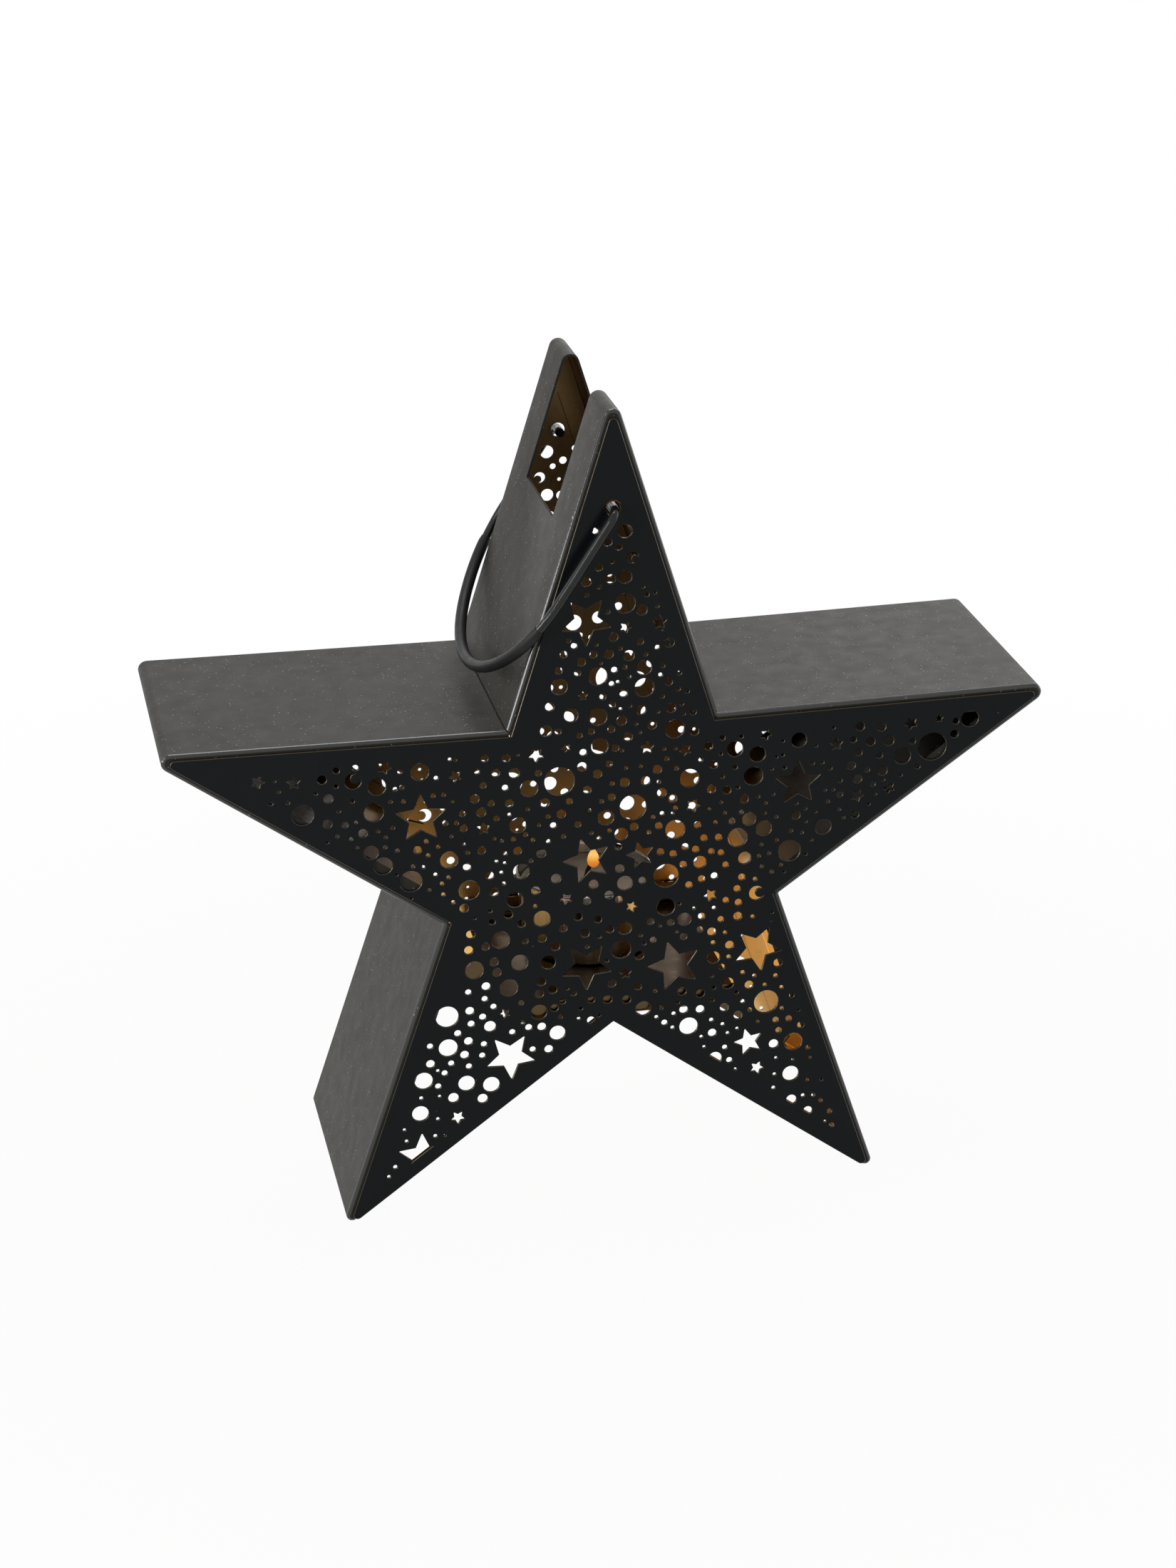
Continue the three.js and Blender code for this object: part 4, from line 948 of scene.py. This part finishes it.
def buildTray():
    low, high = (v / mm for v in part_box("candle_tray"))
    sheet, bend, steps = starForm["sheet"], trayForm["bend"], trayForm["bendSteps"]
    floor, top = low.z - centreZ, high.z - centreZ
    half = high.y
    outer, inner = [(half, top)], [(half - sheet, top)]
    for k in range(steps + 1):
        angle = math.pi / 2 * k / steps
        for line, radius in ((outer, bend), (inner, bend - sheet)):
            line.append((half - bend + radius * math.cos(angle), floor + bend - radius * math.sin(angle)))
    outer += [(-y, z) for y, z in reversed(outer)]
    inner += [(-y, z) for y, z in reversed(inner)]
    section = outer + inner[::-1]
    ends = [[(x, y, z) for y, z in section] for x in (low.x, high.x)]
    tray = barPiece("candle_channel", ends, [trayPaint])
    roundEdges(tray, trayForm["edgeRound"])
    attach(tray, "lantern_body")
    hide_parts("candle_tray")
    print("tray", len(tray.data.polygons), "faces")


buildTray()


# Bail: a bent wire with a sleeve over its crown

bailForm = {
    "restAngle": 33.216,     # degrees from hanging straight down
    "wireRadius": 1.2, "sleeveRadius": 1.55, "sleeveBore": 1.32,
    "legClearance": 3.75, "endBend": 3.0, "endLength": 4.0,
    "reach": 58.4, "shoulderRadius": 28.0, "crownHalfAngle": 48.6, "sleeveStart": 20.0,
    "paintLumps": 0.02, "sleeveLumps": 0.015,
    "wireEndShare": 0.75, "sleeveRing": 0.12,  # how the two ends narrow
    "steps": {"end": 6, "bend": 12, "leg": 24, "shoulder": 10, "sleeve": 14, "crown": 30},
}


def bailArc(y, reach, radius, start, finish, steps):
    places = []
    for k in range(steps + 1):
        angle = math.radians(start + (finish - start) * k / steps)
        places.append((y - radius * math.cos(angle), reach + radius * math.sin(angle)))
    return places


def bailHalf(onlySleeve):
    # places across the lantern and down from the hinge line, from the front end to the crown
    form, steps = bailForm, bailForm["steps"]
    leg = faceY + form["legClearance"]
    crown = math.radians(form["crownHalfAngle"])
    shoulder = form["shoulderRadius"]
    crownRadius = (leg - shoulder * (1 - math.sin(crown))) / math.sin(crown)
    legEnd = form["reach"] - crownRadius * (1 - math.cos(crown)) - shoulder * math.cos(crown)
    last = 90 - form["crownHalfAngle"]
    start = form["sleeveStart"]
    sleeve = bailArc(shoulder - leg, legEnd, shoulder, start, last, steps["sleeve"])
    sleeve += bailArc(0, form["reach"] - crownRadius, crownRadius, last, 90, steps["crown"])[1:]
    if onlySleeve:
        return sleeve
    inner = starForm["sheet"] - faceY
    places = [(inner + form["endLength"] * (1 - k / steps["end"]), 0.0) for k in range(steps["end"])]
    places += bailArc(form["endBend"] - leg, form["endBend"], form["endBend"], -90, 0, steps["bend"])
    down = places[-1][1]
    places += [(-leg, down + (legEnd - down) * k / steps["leg"]) for k in range(1, steps["leg"] + 1)]
    places += bailArc(shoulder - leg, legEnd, shoulder, 0, start, steps["shoulder"])[1:]
    return places + sleeve[1:]


def bailPath(onlySleeve):
    half = bailHalf(onlySleeve)
    whole = half + [(-y, reach) for y, reach in reversed(half[:-1])]
    turn = math.radians(bailForm["restAngle"])
    across, down = math.sin(turn), math.cos(turn)
    return [Vector((-reach * across, y, hingeLevel - reach * down)) for y, reach in whole]


wirePaint = blackPaint("wire_black_paint", {
    "dark": (0.008, 0.0085, 0.009, 1), "light": (0.016, 0.0165, 0.017, 1), "sheen": (1, 1, 1, 1),
    "dust": (0.1, 0.1, 0.1, 1), "dustScale": 700, "dustSize": 0.1, "dustRarity": 0.9,
    "cloudScale": 60, "streakScale": 200, "streakStretch": 1,
    "rough": (0.12, 0.22), "roughScale": 500, "gloss": 0.3,
    "waveScale": 320, "waveStrength": 0.18, "peelScale": 1800, "peelStrength": 0.12})
sleevePaint = blackPaint("sleeve_black_tubing", {
    "dark": (0.009, 0.0092, 0.0095, 1), "light": (0.014, 0.0142, 0.0145, 1), "sheen": (1, 1, 1, 1),
    "dust": (0.08, 0.08, 0.078, 1), "dustScale": 600, "dustSize": 0.1, "dustRarity": 0.88,
    "cloudScale": 50, "streakScale": 120, "streakStretch": 1,
    "rough": (0.4, 0.52), "roughScale": 400, "gloss": 0.2,
    "waveScale": 90, "waveStrength": 0.15, "peelScale": 2400, "peelStrength": 0.25})


def buildBail():
    form = bailForm
    turn = math.radians(form["restAngle"])
    sideways = Vector((-math.cos(turn), 0, math.sin(turn)))
    path = bailPath(False)
    last = len(path) - 1

    def wireRadiusAt(k, i):
        place = path[k] * 0.9 + Vector((0, 0, i * 0.5))
        lump = form["paintLumps"] * noise.noise(place)
        share = form["wireEndShare"] if k in (0, last) else 1.0
        return form["wireRadius"] * share + lump

    wire = tubePiece("bail_wire", path, sideways, wireRadiusAt, 20, wirePaint)
    sleevePath = bailPath(True)
    end = len(sleevePath) - 1

    def sleeveRadiusAt(k, i):
        fromEnd = min(k, end - k)
        if fromEnd == 0:
            return form["sleeveBore"]
        ring = form["sleeveRing"] if fromEnd == 1 else 0.0
        return form["sleeveRadius"] - ring + form["sleeveLumps"] * noise.noise(sleevePath[k] * 0.4)

    sleeve = tubePiece("bail_sleeve", sleevePath, sideways, sleeveRadiusAt, 24, sleevePaint)
    pieces = ((wire, "handle_wire", "black_wire"), (sleeve, "handle_grip", "grip_sleeve"))
    for piece, node, slotName in pieces:
        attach(piece, "handle")
        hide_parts(node)
    print("bail", len(wire.data.polygons) + len(sleeve.data.polygons), "faces")


buildBail()


# Tealight: cup, wax, wick, sustainer and flame

tealightForm = {
    "wall": 0.35, "bead": 0.45, "flutes": 60, "fluteDepth": 0.07, "taper": 0.5,
    "waxDrop": 4.0, "meltRadius": 13.0, "meltDrop": 0.9, "waxFit": 0.15,
    "wickFoot": 0.9, "wickRadius": 0.65, "wickEndShare": 0.45, "wickFray": 0.08,
    "wickLean": 2.2, "wickBend": 0.66,  # sideways reach of the tip, and where the bend starts
    "flameHeight": 5.9, "flameRadius": 1.7, "flameLift": -1.9,
}
tealightLook = {
    "cupTint": (0.78, 0.79, 0.8, 1), "cupRough": (0.12, 0.22), "cupGrain": 1400,
    "tinTint": (0.62, 0.62, 0.61, 1), "tinRough": (0.28, 0.46), "tinGrain": 1800,
    "brushStretch": (1, 1, 0.08), "brushShade": 0.8, "brushBump": 0.12,
    "waxDark": (0.8, 0.74, 0.62, 1), "waxLight": (0.88, 0.84, 0.74, 1), "waxRough": (0.25, 0.45),
    "waxClouds": 180, "waxBump": 0.1, "waxScatter": 0.5, "waxReach": (0.004, 0.003, 0.002),
    "wickDark": (0.012, 0.01, 0.009, 1), "wickLight": (0.06, 0.05, 0.042, 1), "wickBraid": 900,
    "flame": {0.0: (0.5, 0.13, 0.02, 1), 0.35: (0.75, 0.25, 0.03, 1), 0.7: (1.0, 0.6, 0.16, 1),
              1.0: (1.0, 0.5, 0.1, 1)},  # from foot to tip
}
cupLow, cupHigh = (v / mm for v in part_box("tealight_cup"))
cupFoot = Vector(((cupLow.x + cupHigh.x) / 2, (cupLow.y + cupHigh.y) / 2, cupLow.z - centreZ))
cupRadius = (cupHigh.x - cupLow.x) / 2
cupHeight = cupHigh.z - cupLow.z


def thinMetal(name, tint, rough, grainScale):
    finish, tree, shader = newFinish(name)
    look, reach = tealightLook, paintForm["reach"]
    brushed = noiseOf(tree, grainScale, 3, look["brushStretch"])
    dark = tuple(look["brushShade"] * c for c in tint[:3]) + (1,)
    dress(tree, shader, {
        "Base Color": mixColours(tree, spread(tree, brushed, *reach, 0, 1), dark, tint),
        "Roughness": spread(tree, brushed, *reach, *rough),
        "Metallic": 1.0,
        "Normal": bumpOf(tree, brushed, look["brushBump"], paintForm["grainDepth"])})
    return finish


def waxFinish():
    finish, tree, shader = newFinish("candle_wax")
    look, reach = tealightLook, paintForm["reach"]
    clouds = noiseOf(tree, look["waxClouds"], 3)
    share = spread(tree, clouds, *reach, 0, 1)
    dress(tree, shader, {
        "Base Color": mixColours(tree, share, look["waxDark"], look["waxLight"]),
        "Subsurface Weight": look["waxScatter"],
        "Subsurface Radius": look["waxReach"],
        "Roughness": spread(tree, clouds, *reach, *look["waxRough"]),
        "Normal": bumpOf(tree, clouds, look["waxBump"], 0.0004)})
    return finish


def wickFinish():
    finish, tree, shader = newFinish("charred_cotton")
    look = tealightLook
    braid = addNode(tree, "ShaderNodeTexWave", {"bands_direction": "DIAGONAL"}, Vector=placeOf(tree),
                    Scale=look["wickBraid"], Distortion=2.0).outputs["Fac"]
    dress(tree, shader, {
        "Base Color": mixColours(tree, braid, look["wickDark"], look["wickLight"]),
        "Roughness": 0.9,
        "Normal": bumpOf(tree, braid, 0.5, 0.0002)})
    return finish


def flameFinish(low, high):
    finish, tree, shader = newFinish("candle_flame_glow")
    tree.nodes.remove(shader)
    height = addNode(tree, "ShaderNodeSeparateXYZ", Vector=placeOf(tree)).outputs["Z"]
    share = spread(tree, height, low, high, 0, 1)
    ramp = addNode(tree, "ShaderNodeValToRGB", Fac=share)
    stops = ramp.color_ramp.elements
    tones = tealightLook["flame"]
    stops[0].color, stops[1].color = tones[0.0], tones[1.0]
    for position, colour in tones.items():
        if 0 < position < 1:
            stops.new(position).color = colour
    glow = addNode(tree, "ShaderNodeEmission", Color=ramp.outputs["Color"], Strength=1.0)
    tree.links.new(glow.outputs["Emission"], tree.nodes["Material Output"].inputs["Surface"])
    return finish


def buildTealight():
    form = tealightForm
    wall, bead = form["wall"], form["bead"]
    top = cupRadius - bead
    base = top - form["taper"]
    level = cupHeight - form["waxDrop"]
    beadRing = [(top + bead * math.cos(a), cupHeight - bead + bead * math.sin(a), 0)
                for a in (math.pi * (k / 8 - 0.5) for k in range(9))]
    cupProfile = [(0.0, 0.35, 0), (base - 3.2, 0.35, 0), (base - 2.4, 0.0, 0), (base - 0.9, 0.0, 0),
                  (base - 0.25, 0.3, 0.3), (base, 1.0, 0.8), (base + 0.12, 4.0, 1),
                  (top - 0.12, cupHeight - 4, 1), (top, cupHeight - 2 * bead - 0.4, 0.3)]
    cupProfile += beadRing
    cupProfile += [(top - wall, cupHeight - bead, 0), (top - wall, cupHeight - 2, 0.4),
                   (base - wall, 1.2, 0.6), (base - wall - 0.5, 0.75, 0), (0.0, 0.75, 0)]
    look = tealightLook
    aluminium = thinMetal("rolled_aluminium", look["cupTint"], look["cupRough"], look["cupGrain"])
    cup = turnedPiece("tealight_shell", cupProfile, 180, cupFoot, aluminium,
                      ripple=form["fluteDepth"], ripples=form["flutes"])
    fit = form["waxFit"]
    low, side = base - wall - fit, top - wall - 0.25
    melt = form["meltRadius"]
    bore = form["wickRadius"] + fit
    waxProfile = [(bore, 1.6), (low - 1.2, 1.3), (low - 0.3, 1.7), (low - 0.1, 3.0),
                  (side - 0.15, level - 0.4), (side - 0.15, level + 0.5), (side - 0.9, level + 0.25),
                  (melt + 1.6, level + 0.05)]
    waxProfile += [(melt * (1 - k / 8) + (bore + 1.4) * k / 8 + 0.4,
                    level - form["meltDrop"] * math.sin(math.pi / 2 * min(1, k / 3))) for k in range(9)]
    waxProfile += [(bore + 0.7, level - form["meltDrop"] + 0.25), (bore, level - form["meltDrop"] + 0.8)]
    wax = turnedPiece("candle_wax_fill", waxProfile, 72, cupFoot, waxFinish(), closed=True, sharp=60)
    tin = thinMetal("tinplate_disc", look["tinTint"], look["tinRough"], look["tinGrain"])
    discProfile = [(bore, 0.85), (7.6, 0.85), (7.9, 0.98), (7.9, 1.12), (7.6, 1.25), (2.4, 1.25),
                   (1.75, 1.5), (1.55, 2.2), (1.5, 4.2), (1.3, 4.4), (bore, 4.4)]
    disc = turnedPiece("wick_base", discProfile, 48, cupFoot, tin, closed=True, sharp=50)
    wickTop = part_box("wick")[1].z / mm - centreZ - cupFoot.z
    wickPath = []
    for k in range(25):
        share = k / 24
        bendShare = max(0.0, share - form["wickBend"]) / (1 - form["wickBend"])
        lean = form["wickLean"] * bendShare ** 2
        rise = form["wickFoot"] + (wickTop - form["wickFoot"]) * share
        wickPath.append(cupFoot + Vector((lean, 0, rise)))

    def wickRadiusAt(k, i):
        fray = form["wickFray"] * noise.noise(Vector((k * 0.7, i * 1.3, 2.0)))
        return form["wickRadius"] * (form["wickEndShare"] if k in (0, 24) else 1.0) + fray

    wick = tubePiece("burnt_wick", wickPath, Vector((0, 1, 0)), wickRadiusAt, 12, wickFinish())
    foot = cupFoot + Vector((form["wickLean"] + 0.2, 0, wickTop + form["flameLift"]))
    flameProfile = [(0.0, 0.0)]
    for k in range(1, 24):
        share = k / 24
        swell = 2.55 * share ** 0.5 * (1 - share) ** 0.95
        flameProfile.append((form["flameRadius"] * swell, form["flameHeight"] * share))
    flameProfile.append((0.0, form["flameHeight"]))
    glowLow = (foot.z + centreZ) * mm
    glow = flameFinish(glowLow, glowLow + form["flameHeight"] * mm)
    flame = turnedPiece("candle_flame", flameProfile, 32, foot, glow, sharp=80)
    pieces = ((cup, "tealight_cup", "cup_aluminium"), (wax, "tealight_wax", "wax"),
              (wick, "wick", "wick_cotton"), (disc, "wick_sustainer", "tinplate"))
    for piece, node, slotName in pieces:
        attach(piece, "tealight")
        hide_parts(node)
    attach(flame, "tealight")
    flame.visible_shadow = False
    print("tealight", len(cup.data.polygons), "faces in the cup")


buildTealight()


# Stage, lights and camera

stageForm = {
    "floorSize": 8.0, "floorTone": (0.45, 0.44, 0.42, 1), "floorRough": 0.9, "floorGloss": 0.1,
    "fade": (0.16, 0.42), "nearGlow": 0.96,  # the floor turns white between these distances
    "front": 0.15, "behind": 0.82, "frontToBehind": (-0.2, 0.6),  # how bright the room is on each side
    "above": 0.3, "levelToAbove": (0.45, 0.9),
    "low": 0.45, "lowToLevel": (0.2, 0.38),
    "roomTint": (1, 0.98, 0.93, 1),
}


def seenOrMirrored(tree):
    # what the camera sees, straight, in a mirror or through glass
    path = addNode(tree, "ShaderNodeLightPath").outputs
    direct = larger(tree, path["Is Camera Ray"], path["Is Glossy Ray"])
    return larger(tree, direct, path["Is Transmission Ray"])


def buildFloor():
    half = stageForm["floorSize"] / 2
    mesh = bpy.data.meshes.new("pale_floor")
    corners = [(-half, -half, 0), (half, -half, 0), (half, half, 0), (-half, half, 0)]
    mesh.from_pydata(corners, [], [(0, 1, 2, 3)])
    floor = bpy.data.objects.new("pale_floor", mesh)
    scene.collection.objects.link(floor)
    finish, tree, shader = newFinish("pale_floor")
    dress(tree, shader, {"Base Color": stageForm["floorTone"], "Roughness": stageForm["floorRough"],
                         "Specular IOR Level": stageForm["floorGloss"]})
    away = addNode(tree, "ShaderNodeVectorMath", {"operation": "LENGTH"}, Vector=placeOf(tree))
    white = spread(tree, away.outputs["Value"], *stageForm["fade"], stageForm["nearGlow"], 1.0)
    share = product(tree, seenOrMirrored(tree), white)
    glow = addNode(tree, "ShaderNodeEmission", Color=(1, 1, 1, 1), Strength=1.0)
    blend = addNode(tree, "ShaderNodeMixShader")
    tree.links.new(share, blend.inputs[0])
    tree.links.new(shader.outputs["BSDF"], blend.inputs[1])
    tree.links.new(glow.outputs["Emission"], blend.inputs[2])
    tree.links.new(blend.outputs["Shader"], tree.nodes["Material Output"].inputs["Surface"])
    mesh.materials.append(finish)


def buildWorld():
    # white to look at, and a dimmer room that lights the lantern, mostly from behind
    world = bpy.data.worlds.new("white_studio")
    scene.world = world
    world.use_nodes = True
    tree = world.node_tree
    back = tree.nodes["Background"]
    look = addNode(tree, "ShaderNodeTexCoord").outputs["Generated"]
    axes = addNode(tree, "ShaderNodeSeparateXYZ", Vector=look)
    form = stageForm
    behind = spread(tree, axes.outputs["Y"], *form["frontToBehind"], form["front"], form["behind"])
    above = spread(tree, axes.outputs["Z"], *form["levelToAbove"], 1.0, form["above"])
    low = spread(tree, axes.outputs["Z"], *form["lowToLevel"], form["low"], 1.0)
    bright = product(tree, product(tree, behind, above), low)
    room = mixColours(tree, bright, (0, 0, 0, 1), form["roomTint"])
    tone = mixColours(tree, seenOrMirrored(tree), room, (1, 1, 1, 1))
    tree.links.new(tone, back.inputs["Color"])
    back.inputs["Strength"].default_value = 1.0


softboxes = {
    "key_left": {"place": (-1.0, -0.5, 0.68), "size": (0.4, 0.4), "power": 3.0},
    "left_panel": {"place": (-1.15, -0.3, 0.2), "size": (1.0, 0.22), "power": 6.5},
    "back_right": {"place": (0.75, 1.35, 0.75), "size": (0.7, 0.7), "power": 3.2},
    "back_left": {"place": (0.0, 1.4, 0.68), "size": (0.6, 0.5), "power": 0.9},
    "overhead": {"place": (0.0, 0.3, 1.5), "size": (0.8, 0.8), "power": 10.5},
    "right_fill": {"place": (1.25, 0.25, 0.3), "size": (0.9, 0.5), "power": 2.0},
}
lampAim = (0, 0, 0.1)


def buildLights():
    for name, box in softboxes.items():
        light = bpy.data.lights.new(name, "AREA")
        light.shape = "RECTANGLE"
        light.size, light.size_y = box["size"]
        light.energy = box["power"]
        lamp = bpy.data.objects.new(name, light)
        lamp.location = box["place"]
        aim = Vector(lampAim) - lamp.location
        lamp.rotation_euler = aim.to_track_quat("-Z", "Y").to_euler()
        scene.collection.objects.link(lamp)


cameraForm = {"place": (-0.16518, -0.78441, 0.44638), "aim": (0.00067, 0.0, 0.10561), "roll": -0.2065,
              "lens": 74.86, "sensor": 36.0}


def buildCamera():
    view = bpy.data.cameras.new("photo_view")
    view.lens = cameraForm["lens"]
    view.sensor_width = cameraForm["sensor"]
    camera = bpy.data.objects.new("photo_view", view)
    camera.location = cameraForm["place"]
    look = Vector(cameraForm["aim"]) - camera.location
    camera.rotation_mode = "QUATERNION"
    turn = Quaternion((0, 0, 1), math.radians(cameraForm["roll"]))
    camera.rotation_quaternion = look.to_track_quat("-Z", "Y") @ turn
    scene.collection.objects.link(camera)
    scene.camera = camera


buildFloor()
buildWorld()
buildLights()
buildCamera()
scene.view_settings.view_transform = "Standard"
print("stage ready")
